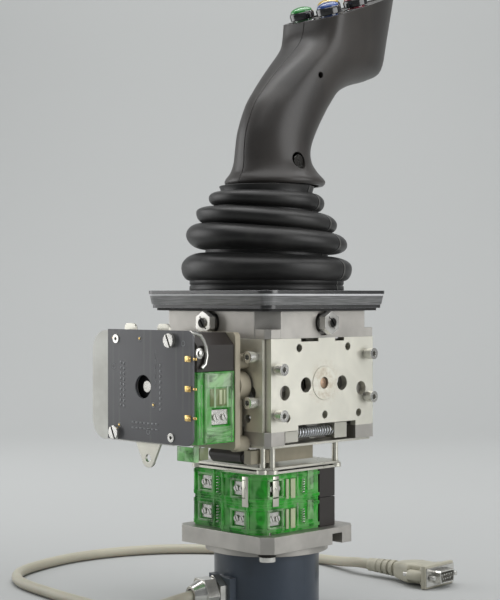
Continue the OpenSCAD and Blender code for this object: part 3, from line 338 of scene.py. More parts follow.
class Paint:
    """One finish: a Principled shader whose varying sockets are fed by expressions."""

    def __init__(self, name, fixed):
        self.material = bpy.data.materials.new(name)
        self.material.use_nodes = True
        self.tree = self.material.node_tree
        self.tree.nodes.clear()
        output = self.tree.nodes.new("ShaderNodeOutputMaterial")
        self.shader = self.tree.nodes.new("ShaderNodeBsdfPrincipled")
        self.tree.links.new(self.shader.outputs[0], output.inputs[0])
        for socket, value in fixed.items():
            self.set(socket, value)

    def set(self, socket, value):
        self.plug(self.shader.inputs[socket], value)

    def plug(self, socket, value):
        if isinstance(value, Wire):
            self.tree.links.new(value.socket, socket)
        elif socket.type == "RGBA":
            socket.default_value = (*value, 1.0)
        else:
            socket.default_value = value

    def node(self, kind, settings=None, values=None, output=0):
        """Any node: its settings, then the values or wires of its sockets by name or place."""
        made = self.tree.nodes.new(kind)
        for key, value in (settings or {}).items():
            setattr(made, key, value)
        pairs = enumerate(values) if isinstance(values, list) else (values or {}).items()
        for key, value in pairs:
            self.plug(made.inputs[key], value)
        return Wire(self, made.outputs[output])

    def vector(self, operation, a, b, output=0):
        return self.node("ShaderNodeVectorMath", {"operation": operation}, [a, b], output)

    def place(self, stretch=None):
        """The point on the piece at rest, in metres, stretched along its axes if asked."""
        point = self.node("ShaderNodeTexCoord", output="Object")
        return self.vector("MULTIPLY", point, stretch) if stretch else point

    def along(self, direction, height=0.0):
        """How far the point lies along direction from the axis at a height, in metres."""
        offset = self.vector("SUBTRACT", self.place(), (0, 0, height))
        return self.vector("DOT_PRODUCT", offset, direction, "Value")

    def noise(self, scale, detail=2.0, rough=0.5, stretch=None, warp=0.0):
        values = {"Scale": scale, "Detail": detail, "Roughness": rough, "Distortion": warp}
        return self.node("ShaderNodeTexNoise", None, {"Vector": self.place(stretch), **values})

    def cells(self, scale, stretch=None):
        return self.node("ShaderNodeTexVoronoi", None, {"Vector": self.place(stretch), "Scale": scale})

    def blend(self, mask, low, high):
        """The colour low where mask is 0 and high where it is 1."""
        return self.node("ShaderNodeMix", {"data_type": "RGBA"}, {0: mask, 6: low, 7: high}, 2)

    def rounded(self, radius):
        """The normal of a surface whose edges are rounded to a radius."""
        return self.node("ShaderNodeBevel", {"samples": 4}, {"Radius": radius})

    def tone(self, mask, colour, dark, light, low=0.3, high=0.7):
        """A colour that wanders between two shades of itself."""
        return self.blend(mask.rise(low, high), shade(colour, dark), shade(colour, light))

    def crevice_shade(self, base, reach, amount, colour):
        """Painted shade: a base colour that turns to another, mostly darker one in corners and crevices, where ambient
        occlusion finds them.
        """
        open_sky = self.node("ShaderNodeAmbientOcclusion", {"samples": 4}, {"Distance": reach}, "AO")
        return self.blend((1.0 - open_sky).maths("ADD", 0.0, clamp=True) * amount, base, colour)

    def edge_wear_and_highlight(self, base, radius, amount, colour):
        """A base colour that turns to a lighter one within a radius of the edges: edge wear, with a painted highlight.
        """
        flat = self.node("ShaderNodeNewGeometry", output="Normal")
        dot = self.vector("DOT_PRODUCT", self.rounded(radius), flat, "Value")
        return self.blend((1.0 - dot).rise(0.01, 0.25) * amount, base, colour)

    def surface(self, base, rough, height, strength, depth, edge=0.0):
        """The finished material: colour, roughness and a bump over edges that are rounded a little."""
        self.set("Base Color", base)
        self.set("Roughness", rough)
        values = {"Height": height, "Strength": strength, "Distance": depth}
        if edge:
            values["Normal"] = self.rounded(edge)
        self.set("Normal", self.node("ShaderNodeBump", None, values))
        return self.material


# ---------------------------------------------------------------- finishes


def cast_metal(name, colour):
    """Fine sand-cast and milled aluminium, a little stained, with painted shade in its corners and bright edges, worn
    and partly painted highlight.
    """
    paint = Paint(name, {"Metallic": 0.82})
    blotch = paint.noise(38, 3, 0.6)
    grain = paint.noise(900, 2, 0.6)
    base = paint.tone(blotch, colour, 0.86, 1.10, 0.3, 0.72)
    base = paint.crevice_shade(base, 0.008, 0.75, shade(colour, 0.22))
    base = paint.edge_wear_and_highlight(base, 0.0006, 0.6, shade(colour, 1.45))
    rough = blotch * 0.16 + grain * 0.12 + 0.28
    return paint.surface(base, rough, grain * 0.7 + blotch * 0.5, 0.25, 0.00012, 0.0005)


def plated_metal(name, colour, rough=0.30):
    """Nickel-plated sheet, rolled, with faint finger marks, a brownish painted shade in its corners and bright edges,
    worn and partly painted highlight.
    """
    paint = Paint(name, {"Metallic": 0.88})
    rolled = paint.noise(420, 3, 0.55, (1, 1, 14))
    smudge = paint.noise(26, 3, 0.65, None, 0.6)
    base = paint.tone(smudge, colour, 0.93, 1.06, 0.35)
    base = paint.crevice_shade(base, 0.003, 0.5, mixed(shade(colour, 0.35), (0.10, 0.09, 0.05), 0.4))
    base = paint.edge_wear_and_highlight(base, 0.0004, 0.5, (0.98, 0.97, 0.94))
    return paint.surface(base, smudge * 0.14 + rolled * 0.10 + (rough - 0.12), rolled, 0.12, 0.00005, 0.00035)


def turned_metal(name, colour, rough):
    """Turned and ground steel: fine rings of tool marks, a brownish painted shade in the corners and bright edges,
    worn and partly painted highlight.
    """
    paint = Paint(name, {"Metallic": 0.86})
    marks = paint.noise(1500, 2, 0.5, (1, 1, 5))
    smudge = paint.noise(70, 2, 0.6)
    base = paint.crevice_shade(paint.tone(smudge, colour, 0.82, 1.08), 0.0025, 0.7, (0.045, 0.040, 0.030))
    base = paint.edge_wear_and_highlight(base, 0.0003, 0.5, (0.92, 0.91, 0.88))
    return paint.surface(base, smudge * 0.16 + marks * 0.14 + (rough - 0.13), marks, 0.15, 0.00004, 0.0003)


def clear_plastic(name, colour, pale, clear=0.4):
    """Tinted clear polycarbonate: flow marks, pale patches painted for the parts beyond it, painted highlights on its
    edges and a faint painted glow.
    """
    paint = Paint(name, {
        "Transmission Weight": clear, "IOR": 1.3, "Specular IOR Level": 0.45, "Coat Weight": 0.2,
        "Coat Roughness": 0.06, "Emission Strength": 0.05,
    })
    flow = paint.noise(44, 3, 0.6, (1, 1, 1.6), 1.2)
    cloud = paint.noise(150, 2, 0.5)
    # Pale patches at the cell edges: painted highlights that stand for refracted parts inside.
    inner = paint.cells(190, (1, 1, 0.45))
    tone = paint.tone(flow, colour, 0.38, 1.25, 0.36, 0.60)
    tone_with_painted_glints = paint.blend(inner.rise(0.42, 0.66) * 0.55, tone, mixed(colour, pale, 0.7))
    # The tone with its pale patches also glows faintly through the emission set above: a painted glow.
    paint.set("Emission Color", tone_with_painted_glints)
    dusty = paint.blend(cloud.rise(0.6, 0.85) * 0.15, tone_with_painted_glints, mixed(pale, (1, 1, 1), 0.4))
    # Pale edges: painted highlight.
    base = paint.edge_wear_and_highlight(dusty, 0.0006, 0.8, pale)
    rough = cloud * 0.10 + flow * 0.06 + 0.03
    return paint.surface(base, rough, flow * 0.8 + inner * 0.5, 0.35, 0.0003, 0.0006)


def ring_distance(paint, height):
    """Distance from the nearer of the two level axes at a height over the floor, in metres."""
    aside = abs(paint.along(X)).maths("MINIMUM", abs(paint.along(Y)))
    up = paint.along(Z, height * MM)
    return (aside * aside + up * up) ** 0.5


def side_plate_metal(name, colour):
    """Nickel-plated plate with a brown bloom of old grease round its bush, a brownish painted shade in its corners and
    bright edges, worn and partly painted highlight.
    """
    paint = Paint(name, {"Metallic": 0.8})
    rolled = paint.noise(420, 3, 0.55, (1, 1, 14))
    smudge = paint.noise(26, 3, 0.65, None, 0.6)
    speck = paint.noise(210, 3, 0.7)
    bloom = ring_distance(paint, PIVOT).rise(0.006, 0.017, 1.0, 0.0) * speck.rise(0.35, 0.75)
    base = paint.blend(bloom * 0.5, paint.tone(smudge, colour, 0.92, 1.05, 0.35), (0.42, 0.30, 0.16))
    base = paint.crevice_shade(base, 0.003, 0.6, (0.13, 0.11, 0.06))
    base = paint.blend(speck.rise(0.68, 0.78) * 0.35, base, shade(colour, 0.55))
    base = paint.edge_wear_and_highlight(base, 0.0004, 0.5, (0.92, 0.91, 0.86))
    rough = smudge * 0.14 + rolled * 0.10 + bloom * 0.1 + 0.28
    return paint.surface(base, rough, rolled + speck * 0.4, 0.14, 0.00006, 0.00035)


def lock_screw_metal(name, dark, light):
    """Bright lock nuts on blackened set screws, with painted shade in the corners."""
    paint = Paint(name, {"Metallic": 0.72})
    smudge = paint.noise(120, 2, 0.6)
    black = ring_distance(paint, LOCK_SCREW_Z).rise(0.0028, 0.0031, 1.0, 0.0)
    base = paint.crevice_shade(paint.blend(smudge.rise(0.3, 0.7), dark, light), 0.003, 0.7, (0.06, 0.05, 0.04))
    base = paint.blend(black, base, (0.022, 0.021, 0.020))
    return paint.surface(base, smudge * 0.15 + black * 0.12 + 0.14, smudge, 0.1, 0.00004, 0.0004)


def shaft_metal(name, dark, light):
    """Ground steel whose front end is painted near-black round its bright middle: painted shade."""
    paint = Paint(name, {"Metallic": 0.9})
    smudge = paint.noise(120, 2, 0.6)
    # Painted shade: the ring round the bright middle of the front end turns near-black.
    collar = ring_distance(paint, PIVOT).rise(0.0031, 0.0034) * paint.along((0, -1, 0)).rise(0.091, 0.092)
    base = paint.blend(collar, paint.blend(smudge.rise(0.3, 0.7), dark, light), (0.012, 0.012, 0.014))
    return paint.surface(base, smudge * 0.15 + collar * 0.4 + 0.16, smudge, 0.1, 0.00004, 0.0003)


def moulded(name, colour, rough, grain=1800, strength=0.12):
    """Injection-moulded plastic with a fine spark-eroded grain, painted shade in its corners and lighter edges, worn
    and partly painted highlight.
    """
    paint = Paint(name, {"Specular IOR Level": 0.5})
    grit = paint.noise(grain, 2, 0.6)
    soft = paint.noise(45, 3, 0.55)
    base = paint.tone(soft, colour, 0.88, 1.12)
    base = paint.crevice_shade(base, 0.004, 0.35, mixed(colour, (0.05, 0.045, 0.04), 0.6))
    base = paint.edge_wear_and_highlight(base, 0.0005, 0.35, mixed(colour, (1, 1, 1), 0.18))
    return paint.surface(base, soft * 0.10 + grit * 0.12 + (rough - 0.11), grit, strength, 0.00008, 0.0005)


def grip_plastic(name, colour):
    """Satin thermoplastic of the grip: even fine grain, hand polish and a trace of dust."""
    paint = Paint(name, {"Specular IOR Level": 0.5, "Sheen Weight": 0.03, "Sheen Roughness": 0.5})
    grit = paint.noise(2600, 2, 0.55)
    dimples = paint.cells(1500)
    hand = paint.noise(24, 3, 0.6, (1, 1, 0.6), 0.4)
    polished = mixed(shade(colour, 1.25), (0.10, 0.085, 0.07), 0.12)
    tone = paint.blend(hand.rise(0.3, 0.7), shade(colour, 0.9), polished)
    base = paint.blend(grit.rise(0.58, 0.75) * 0.35, tone, (0.11, 0.105, 0.10))
    rough = hand * 0.14 + grit * 0.06 + 0.29
    return paint.surface(base, rough, grit * 0.6 + dimples * 0.6, 0.22, 0.00006, 0.0007)


def bellows_rubber(name, colour):
    """Moulded rubber with a mould seam down one side, a painted highlight on the seam's lip, bloom on the folds,
    painted shade in the creases and fine pits.
    """
    paint = Paint(name, {"Specular IOR Level": 0.5, "Sheen Weight": 0.05, "Sheen Roughness": 0.5})
    pits = paint.noise(1400, 2, 0.6)
    bloom = paint.noise(34, 4, 0.6, (1, 1, 2.0), 0.5)
    turn = radians(16)
    across = paint.along((-sin(turn), cos(turn), 0))
    front = paint.along((cos(turn), sin(turn), 0)).rise(0.015, 0.02)
    seam = (1.0 - abs(across).rise(0.0005, 0.0009)) * front
    # The lighter line beside the seam is a painted highlight on the edge of the flash line.
    lip = (1.0 - abs(across - 0.0018).rise(0.0005, 0.0009)) * front
    dull = mixed(colour, (0.05, 0.048, 0.044), 0.3)
    base = paint.blend(bloom.rise(0.36, 0.72), shade(colour, 0.8), dull)
    # Painted shade in the creases of the folds.
    base = paint.crevice_shade(base, 0.006, 0.5, shade(colour, 0.35))
    base = paint.blend(lip * 0.6, base, (0.16, 0.155, 0.145))
    base = paint.blend(seam * 0.9, base, shade(colour, 0.2))
    rough = bloom * 0.18 + pits * 0.08 + seam * 0.5 + 0.30
    return paint.surface(base, rough, pits * 0.25 - seam * 2.0, 0.35, 0.00014)


def top_metal(name, colour):
    """Dark anodised aluminium: a glossy lip, a painted highlight as a bright line under it, and a linished rim with
    bright edges, worn and partly painted highlight.
    """
    paint = Paint(name, {"Coat Weight": 0.15, "Coat Roughness": 0.2})
    lines = paint.noise(900, 3, 0.6, (0.06, 0.06, 1.6))
    soft = paint.noise(30, 3, 0.6)
    up = paint.along(Z, level_of("top_plate", 0) * MM)
    lip = up.rise(0.0084, 0.0088)
    # The bright line under the lip is a painted highlight, made less metallic so that it stays white.
    line = up.rise(0.0074, 0.0077) * up.rise(0.0084, 0.0087, 1.0, 0.0)
    band = up.rise(0.0020, 0.0024) * up.rise(0.0072, 0.0076, 1.0, 0.0)
    base = paint.blend(band, shade(colour, 0.35), paint.tone(lines, colour, 0.75, 1.3, 0.35))
    base = paint.blend(lip, base, shade(colour, 0.45))
    base = paint.blend(soft.rise(0.5, 0.8) * 0.2, base, mixed(colour, (0.4, 0.4, 0.4), 0.3))
    # Painted highlight: the bright line.
    base = paint.blend(line * 0.9, base, (0.92, 0.92, 0.93))
    base = paint.edge_wear_and_highlight(base, 0.0004, 0.8, (0.75, 0.75, 0.77))
    paint.set("Metallic", 0.75 - line * 0.55)
    rough = lines * 0.16 + soft * 0.08 - lip * 0.08 + 0.22
    return paint.surface(base, rough, lines, 0.18, 0.00006, 0.0004)


def board_lacquer(name, colour):
    """Lacquered laminate: a faint weave, and tracks that show as low ridges under the lacquer."""
    paint = Paint(name, {"Coat Weight": 0.35, "Coat Roughness": 0.18})
    weave = (paint.along(X) * 5200.0).maths("SINE") * (paint.along(Z) * 5200.0).maths("SINE")
    soft = paint.noise(22, 2, 0.5)
    lanes = (paint.along(X) * 1150.0 + paint.noise(60, 1, 0.4) * 1.2).maths("SINE").rise(0.55, 0.75)
    tracks = lanes * paint.noise(48, 1, 0.3, (1, 1, 0.25)).rise(0.52, 0.56)
    track = mixed(colour, (0.20, 0.21, 0.19), 0.5)
    base = paint.blend(tracks * 0.35, paint.tone(soft, colour, 0.9, 1.15), track)
    rough = soft * 0.12 + weave * 0.02 + 0.36
    return paint.surface(base, rough, weave * 0.12 + tracks, 0.25, 0.00005, 0.0003)


def cable_jacket(name, colour):
    """Smooth cable jacket with faint drawing lines, handling marks and painted shade in its crevices."""
    paint = Paint(name, {"Specular IOR Level": 0.45, "Subsurface Weight": 0.04})
    scuff = paint.noise(160, 3, 0.6, None, 0.5)
    soft = paint.noise(18, 2, 0.5)
    tone = paint.tone(soft, colour, 0.92, 1.08)
    marked = paint.blend(scuff.rise(0.62, 0.8) * 0.3, tone, shade(colour, 0.6))
    base = paint.crevice_shade(marked, 0.004, 0.4, shade(colour, 0.4))
    return paint.surface(base, scuff * 0.2 + 0.34, scuff + soft, 0.15, 0.0002)


def enamel(name, colour):
    """Thick enamel with a slight orange peel and thin, lighter edges, worn and partly painted highlight."""
    paint = Paint(name, {"Coat Weight": 0.4, "Coat Roughness": 0.14, "Metallic": 0.1})
    peel = paint.noise(620, 2, 0.5)
    soft = paint.noise(24, 3, 0.6)
    thin = mixed(colour, (0.45, 0.47, 0.50), 0.6)
    base = paint.edge_wear_and_highlight(paint.tone(soft, colour, 0.85, 1.25), 0.0005, 0.4, thin)
    return paint.surface(base, soft * 0.14 + peel * 0.06 + 0.26, peel, 0.14, 0.0001, 0.0006)


def gold_plate(name, dark, light):
    """Thin gold plate over copper pads."""
    paint = Paint(name, {"Metallic": 1.0})
    soft = paint.noise(500, 2, 0.5)
    base = paint.blend(soft.rise(0.3, 0.7), dark, light)
    return paint.surface(base, soft * 0.15 + 0.18, soft, 0.1, 0.00003, 0.0002)


def lens_cap(name, colour):
    """Glossy coloured cap with painted shade towards its rim, and fine scratches."""
    paint = Paint(name, {"Coat Weight": 1.0, "Coat Roughness": 0.04, "Specular IOR Level": 0.6})
    cloud = paint.noise(260, 2, 0.5)
    scratch = paint.noise(900, 2, 0.6, (1, 7, 1))
    base = paint.crevice_shade(paint.tone(cloud, colour, 0.75, 1.2), 0.002, 0.6, shade(colour, 0.25))
    return paint.surface(base, scratch * 0.12 + 0.14, scratch, 0.05, 0.00003)


def studio_paper(name, colour):
    """Matt studio paper with a faint unevenness."""
    paint = Paint(name, {"Specular IOR Level": 0.1})
    soft = paint.noise(1.3, 2, 0.5)
    paint.set("Base Color", paint.tone(soft, colour, 0.985, 1.015, 0.2, 0.8))
    paint.set("Roughness", soft * 0.05 + 0.85)
    return paint.material


# Finish: slot, maker and the maker's values. A pair of a name and a factor is a shade of a colour
# that can be set.
LOOKS = {
    "cast": ("cast_aluminium", cast_metal, ("cast", 1)),
    "plate": ("nickel", plated_metal, ("plate", 1)),
    # A darker copy of the plated finish, for the spring seats: painted shade.
    "plate_dark": ("nickel", plated_metal, ("plate", 0.8), 0.38),
    # A lighter copy of the plated finish, for the side plates: painted light.
    "side_plate": ("nickel", side_plate_metal, ("plate", 1.17)),
    "bright": ("nickel", turned_metal, (0.78, 0.77, 0.73), 0.18),
    "steel": ("steel", turned_metal, (0.52, 0.51, 0.48), 0.30),
    "black_steel": ("steel", turned_metal, (0.030, 0.028, 0.026), 0.42),
    "spring": ("steel", turned_metal, (0.82, 0.84, 0.87), 0.20),
    "bronze": ("steel", turned_metal, (0.60, 0.42, 0.30), 0.34),
    "lock_screw": ("nickel", lock_screw_metal, (0.76, 0.74, 0.69), (0.93, 0.92, 0.88)),
    "shaft": ("steel", shaft_metal, (0.50, 0.49, 0.46), (0.74, 0.73, 0.70)),
    "gold": ("nickel", gold_plate, (0.62, 0.40, 0.12), (0.90, 0.68, 0.30)),
    "clear_green": ("green_plastic", clear_plastic, ("block", 1), (0.40, 0.80, 0.34)),
    "clear_pale": ("green_plastic", clear_plastic, (0.26, 0.56, 0.22), (0.74, 0.90, 0.68), 0.55),
    "clear_white": ("green_plastic", clear_plastic, (0.46, 0.68, 0.40), (0.86, 0.95, 0.80), 0.45),
    "clear_brown": ("green_plastic", clear_plastic, (0.16, 0.20, 0.08), (0.50, 0.56, 0.36), 0.3),
    "straw": ("cream_plastic", moulded, (0.52, 0.57, 0.36), 0.4),
    "cream": ("cream_plastic", moulded, (0.92, 0.91, 0.83), 0.5),
    "beige": ("beige_plastic", moulded, (0.40, 0.36, 0.27), 0.5),
    "dark": ("dark_plastic", moulded, (0.030, 0.025, 0.022), 0.38),
    "gasket": ("black_rubber", moulded, (0.018, 0.018, 0.018), 0.6, 900),
    "hood": ("cord_plastic", moulded, ("cord", 1), 0.42, 1500, 0.15),
    "print": ("cream_plastic", moulded, (0.34, 0.35, 0.36), 0.6, 2500, 0.05),
    "cord": ("cord_plastic", cable_jacket, ("cord", 1)),
    "board": ("board", board_lacquer, ("board", 1)),
    "rubber": ("black_rubber", bellows_rubber, ("rubber", 1)),
    "top": ("plate_metal", top_metal, ("top", 1)),
    "grip": ("grip_plastic", grip_plastic, ("grip", 1)),
    "encoder": ("encoder_paint", enamel, ("encoder", 1)),
    "smoke": ("dark_plastic", lens_cap, (0.012, 0.012, 0.013)),
    "cap_green": ("cap_green", lens_cap, (0.02, 0.30, 0.045)),
    "cap_blue": ("cap_blue", lens_cap, (0.02, 0.075, 0.30)),
    "cap_yellow": ("cap_yellow", lens_cap, (0.72, 0.47, 0.02)),
    "cap_red": ("cap_red", lens_cap, (0.45, 0.015, 0.05)),
}

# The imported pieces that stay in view, by finish.
WORN_BY = {
    "encoder": "encoder_body",
    "bright": "cable_gland plug_shell flange_screws block_terminals side_plate_screws unit_terminals"
              " board_screws",
    "hood": "strain_relief",
    "cast": "bottom_flange lower_frame upper_housing",
    "clear_green": "switch_level_lower switch_level_upper",
    "dark": "block_ends spring_barrel insulator_block",
    "plate": "switch_plates spacer_posts carrier_plate lug_plate",
    "beige": "stop_bar unit_spacer",
    "side_plate": "side_plate_right side_plate_front side_plate_left side_plate_rear tilt_bushes",
    "lock_screw": "clamp_bolts",
    "gasket": "plate_gasket",
    "top": "top_plate",
    "plate_dark": "seat_x_low seat_x_high seat_y_low seat_y_high",
    "cream": "backing_plate",
    "board": "circuit_board",
    "steel": "gimbal_ring stick_fork stick_tube twist_rod bail drive_cup twist_shaft",
    "grip": "head_panel",
    "black_steel": "grip_screws",
    "shaft": "cam_shaft",
}
FINISHES = {}


def colour_of(value):
    """A maker's value, with a settable colour looked up and shaded."""
    if isinstance(value, tuple) and isinstance(value[0], str):
        return shade(getattr(bpy.context.scene.joystick_colours, value[0]), value[1])
    return value


def finish(name):
    """A finish by name, made the first time that it is asked for."""
    if name not in FINISHES:
        _, maker, *values = LOOKS[name]
        FINISHES[name] = maker(name, *(colour_of(value) for value in values))
    return FINISHES[name]


# ---------------------------------------------------------------- mesh building, in millimetres


def turns(count, shift=0.0):
    """The angles of a number of equal steps round a circle."""
    return [2 * pi * (k + shift) / count for k in range(count)]


def placed(name, data):
    """A new object in the scene."""
    made = bpy.data.objects.new(name, data)
    bpy.context.scene.collection.objects.link(made)
    return made


class Shape:
    """The solids of one piece. Each call adds a closed solid; make() turns them into an object."""

    def __init__(self, matrix=None):
        self.mesh = bmesh.new()
        self.matrix = matrix or Matrix.Identity(4)

    def rings(self, rings, ends=True, loop=False):
        """A skin over rings of points; ends closes the first and the last ring."""
        rows = [[self.mesh.verts.new(self.matrix @ Vector(p)) for p in ring] for ring in rings]
        for a, b in list(zip(rows, rows[1:])) + ([(rows[-1], rows[0])] if loop else []):
            for i in range(len(a)):
                j = (i + 1) % len(a)
                self.mesh.faces.new((a[i], a[j], b[j], b[i]))
        if ends and not loop:
            self.mesh.faces.new(rows[0][::-1])
            self.mesh.faces.new(rows[-1])

    def lathe(self, profile, origin=(0, 0, 0), axis=Z, steps=48):
        """A solid turned about an axis from a closed profile of (radius, distance along)."""
        axis = Vector(axis).normalized()
        side = axis.orthogonal().normalized()
        other = axis.cross(side)
        rings = []
        for a in turns(steps):
            out = side * cos(a) + other * sin(a)
            rings.append([Vector(origin) + out * max(r, 0.0005) + axis * h for r, h in profile])
        self.rings(rings, False, True)

    def disc(self, radius, low, high, origin=(0, 0, 0), axis=Z, round_off=0.3, steps=40):
        """A short turned solid with softened rims."""
        b = min(round_off, radius / 2, (high - low) / 2)
        self.lathe(
            [(0, low), (radius - b, low), (radius - 0.3 * b, low + 0.3 * b), (radius, low + b),
             (radius, high - b), (radius - 0.3 * b, high - 0.3 * b), (radius - b, high), (0, high)],
            origin, axis, steps,
        )

    def block(self, low, high, round_off=0.3):
        """A block with bevelled edges."""
        size = [h - l for l, h in zip(low, high)]
        middle = Vector([(l + h) / 2 for l, h in zip(low, high)])
        place = self.matrix @ Matrix.Translation(middle) @ Matrix.Diagonal((*size, 1))
        made = bmesh.ops.create_cube(self.mesh, size=1.0, matrix=place)
        edges = list({e for v in made["verts"] for e in v.link_edges})
        b = min(round_off, 0.4 * min(abs(s) for s in size))
        bmesh.ops.bevel(self.mesh, geom=edges, offset=b, segments=2, profile=0.6, affect="EDGES")

    def tube(self, path, radius, sides=10):
        """A round rod along a path."""
        points = [Vector(p) for p in path]
        last = len(points) - 1
        rings, side = [], None
        for i, p in enumerate(points):
            run = (points[min(i + 1, last)] - points[max(i - 1, 0)]).normalized()
            side = run.orthogonal() if side is None else side - run * side.dot(run)
            side.normalize()
            up = run.cross(side)
            rings.append([p + radius * (side * cos(a) + up * sin(a)) for a in turns(sides)])
        self.rings(rings)

    def make(self, name, look, body="base", angle=35.0):
        """The finished object, in metres, riding on a body if one is given."""
        bmesh.ops.recalc_face_normals(self.mesh, faces=self.mesh.faces)
        bmesh.ops.scale(self.mesh, vec=(MM, MM, MM), verts=self.mesh.verts)
        data = bpy.data.meshes.new(name)
        self.mesh.to_mesh(data)
        self.mesh.free()
        data.shade_smooth()
        data.set_sharp_from_angle(angle=radians(angle))
        data.materials.append(finish(look))
        made = placed(name, data)
        if body:
            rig.ride(made, body)
        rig.slot(made, LOOKS[look][0])
        return made


def carve(target, cutter):
    """Cuts a cutter out of a piece and throws the cutter away."""
    step = target.modifiers.new("cut", "BOOLEAN")
    step.operation = "DIFFERENCE"
    step.solver = "EXACT"
    step.object = cutter
    graph = bpy.context.evaluated_depsgraph_get()
    graph.update()
    fresh = bpy.data.meshes.new_from_object(target.evaluated_get(graph))
    target.modifiers.clear()
    target.data = fresh
    bpy.data.objects.remove(cutter)


def catmull(points, steps):
    """A smooth run of points through a list of equal-length lists."""
    out = []
    last = len(points) - 1
    for i in range(last):
        near = (points[max(i - 1, 0)], points[i], points[i + 1], points[min(i + 2, last)])
        for k in range(steps):
            t = k / steps
            out.append([
                0.5 * (2 * q + (r - p) * t + (2 * p - 5 * q + 4 * r - s) * t * t
                       + (3 * q - p - 3 * r + s) * t**3)
                for p, q, r, s in zip(*near)
            ])
    out.append(list(points[last]))
    return out


# From the front unit's own axes, out of its face, across and up from the pivot, to the frame's.
UNIT = Matrix(((0, 1, 0, 0), (-1, 0, 0, 0), (0, 0, 1, PIVOT), (0, 0, 0, 1)))


# ---------------------------------------------------------------- pieces


class MakeStage(bpy.types.Operator):
    """Camera, paper sweep and soft lights"""

    bl_idname = "joystick.make_stage"
    bl_label = "Stage"

    def execute(self, context):
        s = context.scene.joystick_studio
        lens = bpy.data.cameras.new("studio_camera")
        lens.lens = s.lens
        lens.clip_start = 0.01
        camera = placed("studio_camera", lens)
        camera.location = TOWARDS * s.distance - RIGHT * 0.0103 + UP * s.eye
        camera.rotation_euler = (radians(89.84), 0, radians(45))
        context.scene.camera = camera
        self.sweep(tuple(s.floor))
        stick = UP * 0.2
        wall = -TOWARDS * 1.7 + UP * 0.45
        self.softbox("key", RIGHT * 1.05 + TOWARDS * 0.58 + UP * 0.50, stick, 1.0, 1.1, s.key)
        self.softbox("fill", -RIGHT * 1.2 - TOWARDS * 0.4 + UP * 0.42, stick, 0.9, 1.0, s.fill)
        self.softbox("roof", Vector((0.1, -0.1, 1.55)), stick, 1.7, 1.7, s.roof)
        self.softbox("back", -TOWARDS * 0.55 + UP * 1.5, wall, 2.4, 0.5, s.back)
        world = bpy.data.worlds.new("studio_world")
        world.use_nodes = True
        sky = world.node_tree.nodes["Background"]
        sky.inputs["Color"].default_value = (0.62, 0.64, 0.66, 1)
        sky.inputs["Strength"].default_value = 0.26
        context.scene.world = world
        context.scene.view_settings.view_transform = "Standard"
        return {"FINISHED"}

    def sweep(self, colour):
        """A floor that curves up behind the object into a backdrop."""
        front, bend, radius, top, half, steps = 1.9, -1.1, 0.7, 3.0, 3.0, 12
        depth = [(front, 0.0), (bend, 0.0)]
        for k in range(1, steps + 1):
            a = radians(90 * k / steps)
            depth.append((bend - radius * sin(a), radius - radius * cos(a)))
        depth.append((bend - radius, top))
        data = bpy.data.meshes.new("paper_sweep")
        mesh = bmesh.new()
        rows = []
        for along, up in depth:
            rows.append([mesh.verts.new(TOWARDS * along + UP * up + RIGHT * w) for w in (-half, half)])
        for a, b in zip(rows, rows[1:]):
            mesh.faces.new((a[0], a[1], b[1], b[0]))
        mesh.to_mesh(data)
        mesh.free()
        data.shade_smooth()
        data.materials.append(studio_paper("studio_paper", colour))
        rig.stage(placed("paper_sweep", data))

    def softbox(self, name, place, target, width, height, strength):
        light = bpy.data.lights.new(name, "AREA")
        light.shape = "RECTANGLE"
        light.size = width
        light.size_y = height
        light.energy = strength
        made = placed(name, light)
        made.location = place
        made.rotation_euler = (target - place).to_track_quat("-Z", "Y").to_euler()


GLAND_YAW = radians(258)
GLAND_OUT = 52.0  # how far the gland's end lies from the encoder's axis
GLAND_Z = 15.0
FLOOR_Z = 3.6
PLUG_YAW = radians(3)
PLUG_AT = Vector((-26, 130, 8))
PLUG_DIR = Vector((cos(PLUG_YAW), sin(PLUG_YAW), 0))
CORD_ON_FLOOR = [
    (-48, -80), (-80, -78), (-125, -74), (-166, -66), (-192, -48), (-206, -18), (-212, 18), (-206, 56),
    (-188, 90), (-158, 116), (-120, 132), (-84, 138),
]
# Sections of the plug's hood: distance from the cable's end, half width, half height.
HOOD = [
    (24, 5.4, 5.0), (25.5, 6.2, 5.6), (31, 8.6, 6.4), (36, 10.4, 6.9), (39.5, 11.2, 7.1), (41.2, 9.4, 7.1),
    (50.4, 9.4, 7.1), (51.4, 13.6, 7.2), (54.6, 14.2, 7.2),
]


def cord_route():
    """The points that the cable passes through, from the gland to the plug."""
    way = Vector((cos(GLAND_YAW), sin(GLAND_YAW), 0))
    return [
        way * GLAND_OUT + UP * GLAND_Z,
        way * (GLAND_OUT + 10) + UP * (GLAND_Z - 1.5),
        Vector((-26, -74, 8)),
        *(Vector((x, y, FLOOR_Z)) for x, y in CORD_ON_FLOOR),
        Vector((-56, 134, FLOOR_Z + 2)),
        PLUG_AT - 12 * PLUG_DIR,
        PLUG_AT - 0.25 * PLUG_DIR,
    ]


